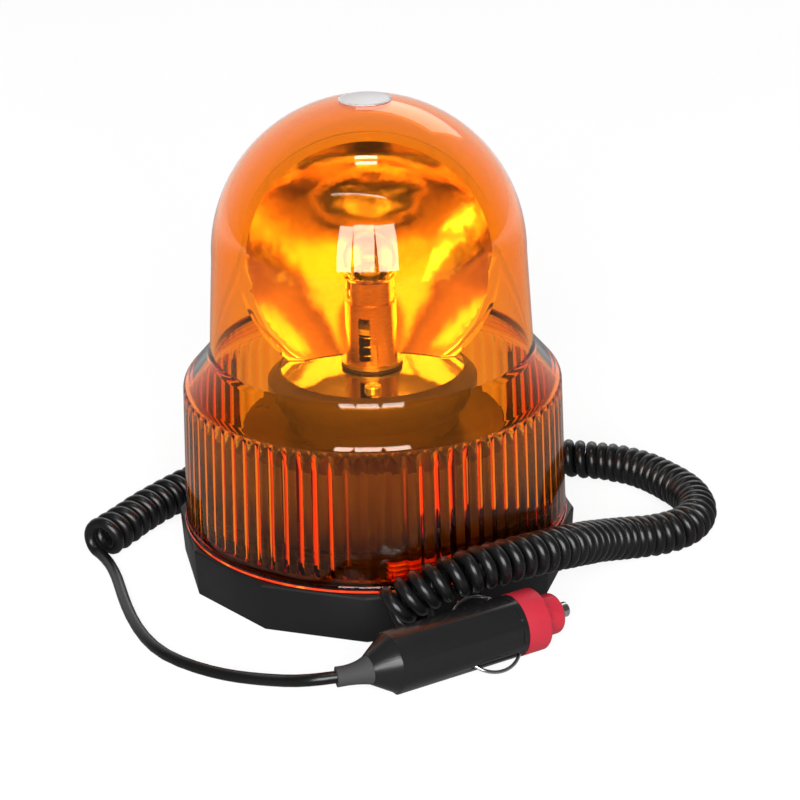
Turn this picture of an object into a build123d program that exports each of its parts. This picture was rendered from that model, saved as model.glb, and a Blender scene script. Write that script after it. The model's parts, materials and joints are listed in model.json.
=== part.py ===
from build123d import *
import math
import os

os.makedirs("parts", exist_ok=True)

# A rotating warning beacon with a magnetic foot, an amber lift-off lens, a turning reflector round
# a fixed lamp, and a curly supply cord with a vehicle power plug.
# Millimetres, +Z up. Origin: centre of the foot, on the surface the beacon stands on. Front is -Y.
# An azimuth is counted from the front, towards +X.

# Base housing, a twelve-sided pan
BASE_SIDES = 12
BASE_TURN = -3.5
BASE_FOOT_R = 71.0
BASE_TOP_R = 72.0
BASE_TOP_Z = 18.0
BASE_FOOT_GAP = 0.6
BASE_WALL = 2.6
BASE_EDGE_ROUND = 1.0
DECK_T = 2.5
FLOOR_T = 2.5
SPIGOT_R = 61.5
SPIGOT_WALL = 2.5
SPIGOT_H = 11.0
RIB_T = 2.0
RIB_LIFT = 2.5

# Magnet in the foot
PAD_T = 1.2
POLE_R = 36.0
POLE_H = 11.0
POLE_WALL = 2.0
POLE_TOP_T = 2.5
MAGNET_GAP = 0.2
MAGNET_BORE_R = 12.0
POCKET_GAP = 0.4
POCKET_WALL = 2.4
MAGNET_SCREW_R = 2.5
MAGNET_HEAD_R = 4.8
MAGNET_HEAD_H = 2.6
MAGNET_CROSS = 2.4
MAGNET_SCREW_END = 2.0

# Seal and lens
SEAL_CLEAR = 1.3
SEAL_W = 3.6
SEAL_BORE_R = SPIGOT_R + SEAL_CLEAR
SEAL_R = SEAL_BORE_R + SEAL_W
SEAL_T = 1.5
SEAL_SINK = 1.2
SEAL_GAP = 0.1
LENS_HEIGHT = 153.1
LIP_CLEAR = 0.9
LIP_W = 6.6
SKIRT_TAPER = 1.7
FLANGE_STEP = 0.3
LIP_R = SPIGOT_R + LIP_CLEAR
SKIRT_FOOT_R = LIP_R + LIP_W
SKIRT_TOP_R = SKIRT_FOOT_R - SKIRT_TAPER
FLANGE_R = SKIRT_FOOT_R + FLANGE_STEP
FLANGE_H = 2.2
SKIRT_H = 52.0
SKIRT_WALL = 3.0
SHOULDER_STEP = 10.0
SHOULDER_R = SKIRT_TOP_R - SHOULDER_STEP
SHOULDER_RISE = 11.4
SHOULDER_ROUND = 5.0
DOME_TAPER = 2.3
DOME_R = SHOULDER_R - DOME_TAPER
DOME_WALL = 2.3
FLUTES = 76
FLUTE_R = 2.3
FLUTE_DEPTH = 1.3
FLUTE_FOOT = 4.2
FLUTE_TOP = 48.2
STICKER_R = 9.2
STICKER_T = 0.3
SKIN = 0.02

# Chassis: drum with a deck, on three screws
DRUM_R = 47.0
DRUM_WALL = 2.5
DRUM_H = 36.8
CHASSIS_DECK_T = 2.5
BOSS_R = 4.0
BOSS_RING_R = 42.8
BOSS_SCREWS = 3
SCREW_R = 1.6
SCREW_LENGTH = 11.0
SCREW_HEAD_R = 3.0
SCREW_CROSS = 1.8
SCREW_HEAD_H = 2.0
SCREW_GAP = 0.1
COLLAR_R = 12.0
COLLAR_H = 7.5

# Lamp post, socket and contact
POST_R = 9.1
POST_WALL = 0.6
POST_TOP = 47.5
POST_FLANGE_R = 12.0
POST_FLANGE_T = 1.2
POST_GAP = 0.05
WINDOW_W = 4.2
WINDOW_AZ = -16.0
WINDOW_LOW = 27.2
WINDOW_HIGH = 43.1
SOCKET_WALL = 0.7
SOCKET_GAP = 0.1
SOCKET_SINK = 4.0
SOCKET_RISE = 9.0
SOCKET_LIP_R = 9.5
SOCKET_LIP_H = 1.5
SEAT_LIFT = 17.0
SEAT_T = 1.5
SPRING_R = 6.6
SPRING_WIRE_R = 0.5
SPRING_TURNS = 5.0
CONTACT_R = 7.4
CONTACT_T = 2.0
PLUNGER_R = 2.2
PLUNGER_RISE = 1.0
PLUNGER_DROP = 3.0

# Bulb
BULB_CAP_R = 7.5
BULB_CAP_H = 13.0
BULB_CAP_WALL = 0.4
BULB_BASE_H = 2.0
BULB_BASE_R = 6.0
BULB_TIP_R = 2.6
BULB_TIP_H = 1.5
PIN_R = 1.0
PIN_DROP = 5.0
PIN_REACH = 8.6
PIN_RISE = 8.5
GLOBE_R = 9.25
GLOBE_RISE = 6.2
GLOBE_NECK_R = 6.8
GLASS_WALL = 0.6
FILAMENT_RISE = 6.5
FILAMENT_SPREAD = 2.6
FILAMENT_WIRE_R = 0.3
FILAMENT_COIL_R = 0.55
PRESS_TRAVEL = 1.8

# Bush and turntable with internal teeth
THRUST_T = 1.0
THRUST_R = 13.0
THRUST_GAP = 0.1
BUSH_GAP = 0.06
BUSH_R = 10.8
BUSH_FLANGE_R = 13.0
BUSH_FLANGE_T = 1.4
BUSH_LENGTH = 22.9
RETAINER_T = 1.0
RETAINER_GAP = 0.2
HUB_R = 13.5
HUB_H = 19.1
WEB_T = 2.9
TEETH_MODULE = 0.7
RING_TEETH = 80
PINION_TEETH = 10
PRESSURE_ANGLE = 20.0
BACKLASH = 0.14
RING_ADDENDUM = 0.35
RING_DEDENDUM = 0.85
PINION_ADDENDUM = 0.65
PINION_DEDENDUM = 0.55
GEAR_LIFT = 0.8
GEAR_FACE = 7.2
GEAR_WALL = 2.2
PINION_LIFT = 1.3
PINION_FACE = 6.0
RIM_R = 37.2
RIM_BAND = 3.9
RIM_FOOT_R = 34.2
RIM_WALL = 1.8
RIM_BEVEL_R = 33.0
RIM_EDGE_DROP = 4.2
RECESS_GAP = 0.2

# Motor
MOTOR_R = 12.0
MOTOR_H = 28.5
MOTOR_WALL = 0.8
MOTOR_BOSS_R = 3.0
MOTOR_BOSS_H = 1.5
MOTOR_CAP_T = 2.3
SHAFT_R = 1.0
SHAFT_GAP = 0.03
BEARING_R = 2.4
BEARING_T = 1.6
ROTOR_R = 7.4
ROTOR_H = 17.0
ROTOR_SLOTS = 3
ROTOR_LIFT = 6.0
MAGNET_ARC_IN_R = 8.4
MAGNET_ARC = 120.0
TERMINAL_W = 3.0
TERMINAL_T = 0.5
TERMINAL_DROP = 2.6
TERMINAL_SPREAD = 7.0
MOTOR_SCREW_SPREAD = 8.5
MOTOR_SCREW_R = 1.25
MOTOR_SCREW_HEAD_R = 2.3
MOTOR_CROSS = 1.3
MOTOR_SCREW_HEAD_H = 1.4
MOTOR_SCREW_LENGTH = 3.6

# Reflector
FLOOR_DISC_R = 32.5
REFLECTOR_T = 1.6
BOWL_R = 43.5
BOWL_LIFT = 36.3
BOWL_FOCUS = 24.0
BOWL_LIP = 1.6
FLOOR_HOLE_GAP = 0.2
GUSSET_T = 1.6
GUSSET_H = 26.0
GUSSET_BACK = 29.0
GUSSET_EDGE = 4.0
GUSSET_SPREAD = 8.0
REFLECTOR_SCREW_RING = 24.6
REFLECTOR_SCREW_BACK = 140.0
REFLECTOR_SCREW_R = 1.3
REFLECTOR_HEAD_R = 2.9
REFLECTOR_CROSS = 1.7
REFLECTOR_HEAD_H = 2.0
REFLECTOR_SCREW_LENGTH = 4.2

# Cord gland in the base wall
GLAND_AZ = 11.5
GLAND_Z = 9.0
GLAND_NECK_R = 3.6
GLAND_RIM_R = 4.8
GLAND_RIM_T = 1.5
GLAND_NOSE_R = 3.0
GLAND_NOSE_L = 1.4
GLAND_GAP = 0.1

# Curly cord
WIRE_R = 2.05
CURL_R = 7.5
INNER_WIRE_R = 0.8
WIRE_HOLE_R = 2.4
WIRE_HOLE_PLACE = 41.7
INNER_WIRE_LIFT = 1.9

# Plug, along its own axis from the tail of its body to the tip
PLUG_TAIL = (-4.1, -108.0, 10.8)
PLUG_HEADING = 29.4
PLUG_ROLL = 40.0
PLUG_R = 10.5
PLUG_FLAT_R = 10.0
PLUG_BODY_L = 55.8
PLUG_CONE_L = 8.0
PLUG_CONE_R = 5.0
PLUG_BORE_R = 7.0
PLUG_BACK_T = 4.0
PLUG_COLLAR_L = 9.4
PLUG_COLLAR_R = 10.7
PLUG_NOSE_L = 8.0
PLUG_NOSE_R = 7.0
TIP_R = 2.6
TIP_OUT = 4.3
TIP_HEAD_R = 4.2
TIP_HEAD_T = 2.0
TIP_GAP = 0.1
TIP_TRAVEL = 3.0
TIP_SPRING_L = 9.0
TIP_SPRING_R = 3.4
TIP_SPRING_WIRE_R = 0.4
TIP_SPRING_TURNS = 6.0
FUSE_R = 3.15
FUSE_L = 30.0
FUSE_CAP_L = 6.0
FUSE_CAP_R = 3.3
BOW_WIRE_R = 0.6
BOW_SPAN = 19.4
BOW_REACH = 14.0
BOW_FOOT_R = 8.0
BOW_MIDDLE = 45.0
BOW_SLOT_GAP = 0.35
RELIEF_L = 11.0
RELIEF_R = 3.4
RELIEF_WAIST_R = 3.8
RELIEF_ROOT_R = 4.9
RELIEF_ROOT_L = 4.0
RELIEF_TURN = 16.0

# Cord routes, points chosen along the floor, over the plug and round the base
CURL_ROUTE = [
    (4.0, -79.5, 17.5),
    (13.5, -78.6, 23.5),
    (26.0, -75.8, 27.8),
    (40.0, -69.4, 28.3),
    (51.6, -60.3, 26.6),
    (61.4, -51.0, 24.0),
    (70.2, -39.4, 19.8),
    (79.4, -25.2, 14.0),
    (90.0, -15.0, 9.6),
    (101.5, -9.4, 7.6),
    (111.5, -4.2, 7.5),
    (117.9, 4.3, 7.5),
    (119.7, 15.5, 7.5),
    (117.5, 27.0, 7.5),
    (110.9, 38.8, 7.5),
    (103.5, 49.2, 7.5),
    (92.0, 57.0, 7.5),
    (75.0, 61.5, 7.5),
    (57.0, 69.0, 7.5),
    (37.0, 77.5, 7.5),
    (13.0, 83.5, 7.5),
    (-13.0, 83.5, 7.5),
    (-38.0, 75.5, 7.5),
    (-57.0, 62.0, 7.5),
    (-70.5, 46.2, 7.5),
    (-80.5, 33.7, 7.5),
    (-89.0, 21.5, 7.5),
    (-95.2, 9.4, 7.5),
    (-101.8, 0.2, 7.5),
]
LEAD_ROUTE = [
    (12.6, -77.2, 9.2),
    (7.0, -78.3, 10.6),
    (4.6, -75.6, 14.2),
]
TAIL_ROUTE = [
    (-97.6, -8.0, 2.05),
    (-93.8, -19.5, 2.05),
    (-90.4, -34.5, 2.05),
    (-86.2, -50.0, 2.05),
    (-80.4, -65.5, 2.05),
    (-72.6, -78.2, 2.05),
    (-61.5, -87.4, 2.05),
    (-51.5, -93.0, 2.1),
    (-43.5, -97.6, 3.2),
    (-35.8, -103.8, 5.7),
    (-27.5, -110.8, 9.0),
]
TAIL_END_RUN = 5.0

# Heights that follow from the sizes above
floor_z = PAD_T + POLE_H
floor_top = floor_z + FLOOR_T
deck_z = BASE_TOP_Z - DECK_T
seal_z = BASE_TOP_Z - SEAL_SINK
lens_z = seal_z + SEAL_T
lens_top = lens_z + LENS_HEIGHT
flute_z = lens_z + FLUTE_FOOT
chassis_top = floor_top + DRUM_H
chassis_under = chassis_top - CHASSIS_DECK_T
post_top = chassis_top + POST_TOP
collar_foot = chassis_under - COLLAR_H
bush_z = chassis_top + THRUST_T + THRUST_GAP
hub_z = bush_z + BUSH_FLANGE_T
recess_z = hub_z + HUB_H
mirror_z = recess_z + REFLECTOR_T
bush_top = bush_z + BUSH_LENGTH
retainer_z = bush_top + RETAINER_GAP
bowl_z = mirror_z + BOWL_LIFT
socket_r = POST_R - POST_WALL - SOCKET_GAP
socket_bore = socket_r - SOCKET_WALL
socket_z = post_top - SOCKET_SINK
socket_top = post_top + SOCKET_RISE
seat_z = chassis_top + SEAT_LIFT
pin_z = socket_top - PIN_DROP
bulb_cap_z = pin_z - PIN_RISE
bulb_cap_top = bulb_cap_z + BULB_CAP_H
bulb_tip_z = bulb_cap_z - BULB_BASE_H - BULB_TIP_H
contact_top = bulb_tip_z
contact_z = contact_top - PLUNGER_RISE - CONTACT_T

# Gear train
ring_pitch_r = TEETH_MODULE * RING_TEETH / 2
pinion_pitch_r = TEETH_MODULE * PINION_TEETH / 2
motor_offset = ring_pitch_r - pinion_pitch_r
ring_tip_r = ring_pitch_r - RING_ADDENDUM
ring_root_r = ring_pitch_r + RING_DEDENDUM
gear_r = ring_root_r + GEAR_WALL
gear_z = chassis_top + GEAR_LIFT
pinion_z = chassis_top + PINION_LIFT
motor_top = chassis_under
motor_z = motor_top - MOTOR_H


def around(azimuth, radius, z=0.0):
    """A point at an azimuth from the front and a distance from the axis."""
    turn = math.radians(azimuth)
    return Vector(radius * math.sin(turn), -radius * math.cos(turn), z)


def tube(outer, inner, low, high):
    """An upright ring on the beacon's axis."""
    body = Pos(0, 0, low) * Cylinder(outer, high - low, align=(Align.CENTER, Align.CENTER, Align.MIN))
    if inner > 0:
        bore = Cylinder(inner, high - low, align=(Align.CENTER, Align.CENTER, Align.MIN))
        body = body - Pos(0, 0, low) * bore
    return body


def rod(radius, low, high, x=0.0, y=0.0):
    """An upright round bar at a place."""
    bar = Cylinder(radius, high - low, align=(Align.CENTER, Align.CENTER, Align.MIN))
    return Pos(x, y, low) * bar


def turned(points):
    """A solid of revolution about the beacon's axis, from a closed outline of (radius, height)."""
    return revolve(Plane.XZ * make_face(Polyline(*points, close=True)), axis=Axis.Z)


def polygon_bar(low_r, high_r, low, high):
    """A tapering twelve-sided bar with the base's own turn."""
    foot = Pos(0, 0, low) * Rot(0, 0, BASE_TURN - 90) * RegularPolygon(low_r, BASE_SIDES)
    top = Pos(0, 0, high) * Rot(0, 0, BASE_TURN - 90) * RegularPolygon(high_r, BASE_SIDES)
    return loft([foot, top])


def screw(radius, length, head_r, head_h, cross=0.0):
    """A pan-head screw with its head's underside at z 0, the shank downwards."""
    head = Cylinder(head_r, head_h, align=(Align.CENTER, Align.CENTER, Align.MIN))
    head = fillet(head.edges().group_by(Axis.Z)[-1], head_h * 0.55)
    shank = Cylinder(radius, length, align=(Align.CENTER, Align.CENTER, Align.MAX))
    body = head + shank
    if cross > 0:
        slot = Box(cross * 2, cross * 0.45, head_h, align=(Align.CENTER, Align.CENTER, Align.CENTER))
        drive = Pos(0, 0, head_h) * (slot + Rot(0, 0, 90) * slot)
        body = body - drive
    return body


def boss_azimuths():
    """Azimuths of the chassis screws, midway along sides of the base."""
    first = GLAND_AZ + 60.0
    return [first + 360.0 / BOSS_SCREWS * k for k in range(BOSS_SCREWS)]


def make_base_housing():
    shrink = (BASE_TOP_R - BASE_FOOT_R) / BASE_TOP_Z
    inset = BASE_WALL / math.cos(math.pi / BASE_SIDES)
    body = polygon_bar(BASE_FOOT_R + shrink * BASE_FOOT_GAP, BASE_TOP_R, BASE_FOOT_GAP, BASE_TOP_Z)
    body = fillet(body.edges().group_by(Axis.Z)[-1], BASE_EDGE_ROUND)
    hollow = polygon_bar(BASE_FOOT_R - inset, BASE_FOOT_R - inset + shrink * deck_z, 0, deck_z)
    body = body - hollow
    body = body + tube(SPIGOT_R, 0, floor_z, BASE_TOP_Z)
    body = body + tube(SPIGOT_R, 0, BASE_TOP_Z, BASE_TOP_Z + SPIGOT_H)
    well_r = SPIGOT_R - SPIGOT_WALL
    body = body - tube(well_r, 0, floor_top, BASE_TOP_Z + SPIGOT_H)
    pocket_r = POLE_R + POCKET_GAP
    wall = tube(pocket_r + POCKET_WALL, pocket_r, PAD_T, floor_z)
    reach = BASE_TOP_R
    rib = Box(reach, RIB_T, deck_z - RIB_LIFT, align=(Align.MIN, Align.CENTER, Align.MIN))
    ribs = [
        Pos(0, 0, RIB_LIFT) * Rot(0, 0, BASE_TURN - 90 + 360 / BASE_SIDES * k) * rib
        for k in range(BASE_SIDES)
    ]
    ribs = Part() + ribs
    ribs = ribs & polygon_bar(BASE_FOOT_R - inset / 2, BASE_TOP_R - inset / 2, 0, deck_z + DECK_T / 2)
    ribs = ribs - tube(pocket_r + POCKET_WALL / 2, 0, 0, BASE_TOP_Z)
    ribs = ribs - tube(well_r, 0, floor_top - FLOOR_T / 2, BASE_TOP_Z)
    body = body + wall + ribs
    groove = tube(SEAL_R + SEAL_GAP, SEAL_BORE_R - SEAL_GAP, seal_z, BASE_TOP_Z + 1)
    body = body - groove
    body = body - rod(MAGNET_SCREW_R + SCREW_GAP, floor_z - 1, floor_top + 1)
    for azimuth in boss_azimuths():
        place = around(azimuth, BOSS_RING_R)
        body = body - rod(SCREW_R + SCREW_GAP, floor_z - 1, floor_top + 1, place.X, place.Y)
    wire_hole = around(GLAND_AZ, WIRE_HOLE_PLACE)
    body = body - rod(WIRE_HOLE_R, floor_z - 1, floor_top + 1, wire_hole.X, wire_hole.Y)
    gland_hole = Cylinder(GLAND_NECK_R + GLAND_GAP, BASE_WALL * 6)
    body = body - gland_plane() * gland_hole
    return body


def gland_plane():
    """The middle of the base wall where the cord goes through."""
    lean = (BASE_TOP_R - BASE_FOOT_R) / BASE_TOP_Z
    flat_share = math.cos(math.pi / BASE_SIDES)
    flat_r = (BASE_FOOT_R + lean * GLAND_Z) * flat_share
    middle = around(GLAND_AZ, flat_r - BASE_WALL / 2, GLAND_Z)
    normal = around(GLAND_AZ, 1.0, -lean * flat_share)
    return Plane(origin=middle, x_dir=normal.cross(Vector(0, 0, 1)), z_dir=normal)


def make_cable_gland():
    half = BASE_WALL / 2 + GLAND_GAP
    up = (Align.CENTER, Align.CENTER, Align.MIN)
    neck = Pos(0, 0, -half) * Cylinder(GLAND_NECK_R, half * 2, align=up)
    outer = Pos(0, 0, half) * Cylinder(GLAND_RIM_R, GLAND_RIM_T, align=up)
    inner = Pos(0, 0, -half - GLAND_RIM_T) * Cylinder(GLAND_RIM_R, GLAND_RIM_T, align=up)
    nose = Pos(0, 0, half + GLAND_RIM_T) * Cone(GLAND_RIM_R - 1, GLAND_NOSE_R, GLAND_NOSE_L, align=up)
    reach = half + GLAND_RIM_T + GLAND_NOSE_L
    bore = Cylinder(WIRE_R, reach * 3)
    return gland_plane() * (neck + outer + inner + nose - bore)


def make_magnet_pad():
    pad = tube(POLE_R, 0, 0, PAD_T)
    return chamfer(pad.edges().group_by(Axis.Z)[0], PAD_T / 3)


def make_pole_cup():
    cup = tube(POLE_R, 0, PAD_T, floor_z)
    cup = fillet(cup.edges().group_by(Axis.Z)[-1], POLE_WALL)
    cup = cup - tube(POLE_R - POLE_WALL, 0, PAD_T, floor_z - POLE_TOP_T)
    return cup - rod(MAGNET_SCREW_R, PAD_T, floor_z)


def make_ring_magnet():
    return tube(POLE_R - POLE_WALL - MAGNET_GAP, MAGNET_BORE_R, PAD_T, floor_z - POLE_TOP_T)


def make_magnet_screw():
    length = FLOOR_T + POLE_TOP_T + MAGNET_SCREW_END
    return Pos(0, 0, floor_top) * screw(
        MAGNET_SCREW_R - SKIN, length, MAGNET_HEAD_R, MAGNET_HEAD_H, cross=MAGNET_CROSS
    )


def make_lens_seal():
    return tube(SEAL_R, SEAL_BORE_R, seal_z, lens_z)


def lens_corner(start, corner, end, inset):
    """Where the two walls that meet at a corner of the lens meet after they move inwards."""
    first = Vector(*corner) - Vector(*start)
    second = Vector(*end) - Vector(*corner)
    first_in = Vector(-first.Y, first.X).normalized() * inset[0]
    second_in = Vector(-second.Y, second.X).normalized() * inset[1]
    a = Vector(*start) + first_in
    b = Vector(*corner) + second_in
    cross = first.X * second.Y - first.Y * second.X
    share = ((b.X - a.X) * second.Y - (b.Y - a.Y) * second.X) / cross
    return (a.X + first.X * share, a.Y + first.Y * share)


def lens_shell(skirt_inset, dome_inset, foot, round_change):
    """The solid inside one skin of the lens, from a height up to the crown."""
    crown_z = lens_top - DOME_R
    skirt_foot = (SKIRT_FOOT_R, lens_z + FLANGE_H)
    skirt_top = (SKIRT_TOP_R, lens_z + SKIRT_H)
    shoulder = (SHOULDER_R, lens_z + SKIRT_H + SHOULDER_RISE)
    dome_foot = (DOME_R, crown_z)
    radius = DOME_R - dome_inset
    top = lens_corner(skirt_foot, skirt_top, shoulder, (skirt_inset, dome_inset))
    waist = lens_corner(skirt_top, shoulder, dome_foot, (dome_inset, dome_inset))
    slope = (SKIRT_TOP_R - SKIRT_FOOT_R) / (SKIRT_H - FLANGE_H)
    low = (SKIRT_FOOT_R - skirt_inset + slope * (foot - skirt_foot[1]), foot)
    wall = FilletPolyline(
        low, top, waist, (radius, crown_z),
        radius=[SHOULDER_ROUND - round_change, SHOULDER_ROUND + round_change],
    )
    crown = CenterArc((0, crown_z), radius, 0, 90)
    axis = Polyline((0, crown_z + radius), (0, foot), low)
    face = make_face(wall.edges() + crown.edges() + axis.edges())
    return revolve(Plane.XZ * face, axis=Axis.Z)


def make_lens_cover():
    body = lens_shell(0, 0, lens_z, 0)
    body = body + tube(FLANGE_R, 0, lens_z, lens_z + FLANGE_H)
    body = body - lens_shell(SKIRT_WALL, DOME_WALL, lens_z + FLANGE_H, DOME_WALL / 2)
    body = body - tube(LIP_R, 0, lens_z, lens_z + FLANGE_H)
    slope = math.atan2(SKIRT_FOOT_R - SKIRT_TOP_R, SKIRT_H - FLANGE_H)
    length = (FLUTE_TOP - FLUTE_FOOT) / math.cos(slope)
    rise = FLUTE_FOOT - FLANGE_H
    crest = SKIRT_FOOT_R - SKIRT_WALL - math.tan(slope) * rise
    cutter = Cylinder(FLUTE_R, length, align=(Align.CENTER, Align.CENTER, Align.MIN))
    cutter = Pos(crest - FLUTE_R + FLUTE_DEPTH, 0, flute_z) * Rot(0, -math.degrees(slope), 0) * cutter
    flutes = [Rot(0, 0, 360 / FLUTES * k) * cutter for k in range(FLUTES)]
    return body - flutes


def make_lens_sticker():
    crown_z = lens_top - DOME_R
    spread = math.degrees(STICKER_R / DOME_R)
    inner = DOME_R + SKIN
    outer = inner + STICKER_T
    low = CenterArc((0, crown_z), inner, 90 - spread, spread)
    high = CenterArc((0, crown_z), outer, 90 - spread, spread)
    sides = [Line(low @ 0, high @ 0), Line(low @ 1, high @ 1)]
    face = make_face(low.edges() + high.edges() + [s.edge() for s in sides])
    return revolve(Plane.XZ * face, axis=Axis.Z)


def make_chassis():
    body = tube(DRUM_R, DRUM_R - DRUM_WALL, floor_top, chassis_top)
    body = body + tube(DRUM_R, 0, chassis_under, chassis_top)
    body = body + tube(COLLAR_R, 0, collar_foot, chassis_under)
    for azimuth in boss_azimuths():
        place = around(azimuth, BOSS_RING_R)
        boss = rod(BOSS_R, floor_top, chassis_under, place.X, place.Y)
        body = body + (boss & tube(DRUM_R, 0, floor_top, chassis_top))
        body = body - rod(SCREW_R, floor_top, floor_top + SCREW_LENGTH, place.X, place.Y)
    body = body - tube(POST_R + POST_GAP, 0, collar_foot - 1, chassis_top + 1)
    motor_hole = MOTOR_BOSS_R + SCREW_GAP
    body = body - rod(motor_hole, chassis_under - COLLAR_H, chassis_top + 1, 0, motor_offset)
    for side in (-1, 1):
        x = side * MOTOR_SCREW_SPREAD
        body = body - rod(MOTOR_SCREW_R + SCREW_GAP, chassis_under - 1, chassis_top + 1, x, motor_offset)
        sink = chassis_top - MOTOR_SCREW_HEAD_H
        body = body - rod(MOTOR_SCREW_HEAD_R + SCREW_GAP, sink, chassis_top + 1, x, motor_offset)
    notch = Box(INNER_WIRE_R * 10, DRUM_WALL * 3, INNER_WIRE_R * 6)
    place = around(GLAND_AZ, DRUM_R - DRUM_WALL / 2, floor_top)
    body = body - Pos(place.X, place.Y, place.Z) * Rot(0, 0, GLAND_AZ) * notch
    return body


def make_chassis_screws():
    one = screw(SCREW_R - SKIN, SCREW_LENGTH + FLOOR_T - 1, SCREW_HEAD_R, SCREW_HEAD_H, cross=SCREW_CROSS)
    places = [around(azimuth, BOSS_RING_R, floor_z) for azimuth in boss_azimuths()]
    return [Pos(p.X, p.Y, p.Z) * Rot(180, 0, 0) * one for p in places]


def make_lamp_post():
    body = tube(POST_R, POST_R - POST_WALL, collar_foot - POST_FLANGE_T, post_top)
    flange = tube(POST_FLANGE_R, POST_R - POST_WALL, collar_foot - POST_FLANGE_T, collar_foot)
    body = body + flange
    height = WINDOW_HIGH - WINDOW_LOW
    window = Box(WINDOW_W, POST_R, height, align=(Align.CENTER, Align.MAX, Align.MIN))
    return body - Rot(0, 0, WINDOW_AZ) * Pos(0, 0, chassis_top + WINDOW_LOW) * window


def make_spring_seat():
    return tube(POST_R - POST_WALL - SKIN, 2.0, seat_z, seat_z + SEAT_T)


def make_lamp_socket():
    body = tube(socket_r, socket_bore, socket_z, socket_top)
    lip_r = SOCKET_LIP_R - SOCKET_WALL
    lip = turned([
        (socket_bore, socket_top - SOCKET_LIP_H),
        (socket_r, socket_top - SOCKET_LIP_H),
        (SOCKET_LIP_R, socket_top),
        (lip_r, socket_top),
    ])
    flare = Pos(0, 0, socket_top - SOCKET_LIP_H) * Cone(
        socket_bore, lip_r, SOCKET_LIP_H, align=(Align.CENTER, Align.CENTER, Align.MIN)
    )
    body = body + lip - flare
    width = PIN_R * 2 + 0.3
    low = pin_z - PRESS_TRAVEL - PIN_R - 0.15
    entry_h = socket_top + 1 - low
    entry = Box(SOCKET_LIP_R, width, entry_h, align=(Align.MIN, Align.CENTER, Align.MIN))
    notch_h = pin_z + PIN_R + 0.1 - low
    notch = Box(SOCKET_LIP_R, width, notch_h, align=(Align.MIN, Align.CENTER, Align.MIN))
    turn = 24.0
    steps = 4
    pass_h = width
    link = Box(SOCKET_LIP_R, width, pass_h, align=(Align.MIN, Align.CENTER, Align.MIN))
    slot = notch + Rot(0, 0, turn) * entry
    for k in range(steps + 1):
        slot = slot + Rot(0, 0, turn * k / steps) * link
    slot = Pos(0, 0, low) * slot
    return body - slot - Rot(0, 0, 180) * slot


def make_contact_disc():
    low = contact_z
    return tube(CONTACT_R, PLUNGER_R + SKIN, low, low + CONTACT_T)


def make_contact_plunger():
    head = rod(PLUNGER_R, contact_z - PLUNGER_DROP, contact_top)
    return fillet(head.edges().group_by(Axis.Z)[0], PLUNGER_R * 0.4)


def make_contact_spring():
    low = seat_z + SEAT_T + SPRING_WIRE_R
    height = contact_z - SPRING_WIRE_R - low
    path = Helix(height / SPRING_TURNS, height, SPRING_R - SPRING_WIRE_R, center=(0, 0, low))
    section = Plane(origin=path @ 0, z_dir=path % 0) * Circle(SPRING_WIRE_R - SKIN)
    return sweep(section, path=path, is_frenet=True)


def make_bulb_cap():
    body = tube(BULB_CAP_R, BULB_CAP_R - BULB_CAP_WALL, bulb_cap_z, bulb_cap_top)
    body = body + tube(BULB_CAP_R, 0, bulb_cap_z, bulb_cap_z + BULB_CAP_WALL)
    pin = Rot(0, 90, 0) * Cylinder(PIN_R, PIN_REACH * 2)
    pins = Pos(0, 0, pin_z) * pin - tube(BULB_CAP_R - BULB_CAP_WALL, 0, bulb_cap_z, bulb_cap_top)
    return body + pins


def make_bulb_contact():
    base = Pos(0, 0, bulb_cap_z - BULB_BASE_H) * Cone(
        BULB_BASE_R - 1.5, BULB_BASE_R, BULB_BASE_H, align=(Align.CENTER, Align.CENTER, Align.MIN)
    )
    tip = rod(BULB_TIP_R, bulb_tip_z, bulb_cap_z - BULB_BASE_H)
    return base + fillet(tip.edges().group_by(Axis.Z)[0], BULB_TIP_H * 0.5)


def globe(radius, neck):
    """The rounded solid inside one skin of the bulb's glass, standing on the cap."""
    middle = bulb_cap_top + GLOBE_RISE
    ball = Pos(0, 0, middle) * Sphere(radius)
    stem = rod(neck, bulb_cap_z + BULB_BASE_H, middle)
    return ball + stem


def make_bulb_glass():
    return globe(GLOBE_R, GLOBE_NECK_R) - globe(GLOBE_R - GLASS_WALL, GLOBE_NECK_R - GLASS_WALL)


def make_bulb_filament():
    low = bulb_cap_z + BULB_CAP_WALL
    high = bulb_cap_top + FILAMENT_RISE
    posts = [rod(FILAMENT_WIRE_R, low, high, side * FILAMENT_SPREAD) for side in (-1, 1)]
    coil = Pos(0, 0, high) * Rot(0, 90, 0) * Cylinder(FILAMENT_COIL_R, FILAMENT_SPREAD * 2)
    bead = Pos(0, 0, bulb_cap_top) * Cylinder(FILAMENT_SPREAD * 1.4, FILAMENT_WIRE_R * 5)
    return posts[0] + posts[1] + coil + bead


def make_thrust_washer():
    return tube(THRUST_R, POST_R + BUSH_GAP, chassis_top, chassis_top + THRUST_T)


def make_turntable_bush():
    bore = POST_R + BUSH_GAP
    body = tube(BUSH_R, bore, bush_z, bush_top)
    return body + tube(BUSH_FLANGE_R, bore, bush_z, hub_z)


def make_retaining_ring():
    return tube(BUSH_R, POST_R, retainer_z, retainer_z + RETAINER_T)


def involute_angle(radius, base):
    """How far an involute has turned at a radius, in radians."""
    pressure = math.acos(base / radius)
    return math.tan(pressure) - pressure


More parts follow.
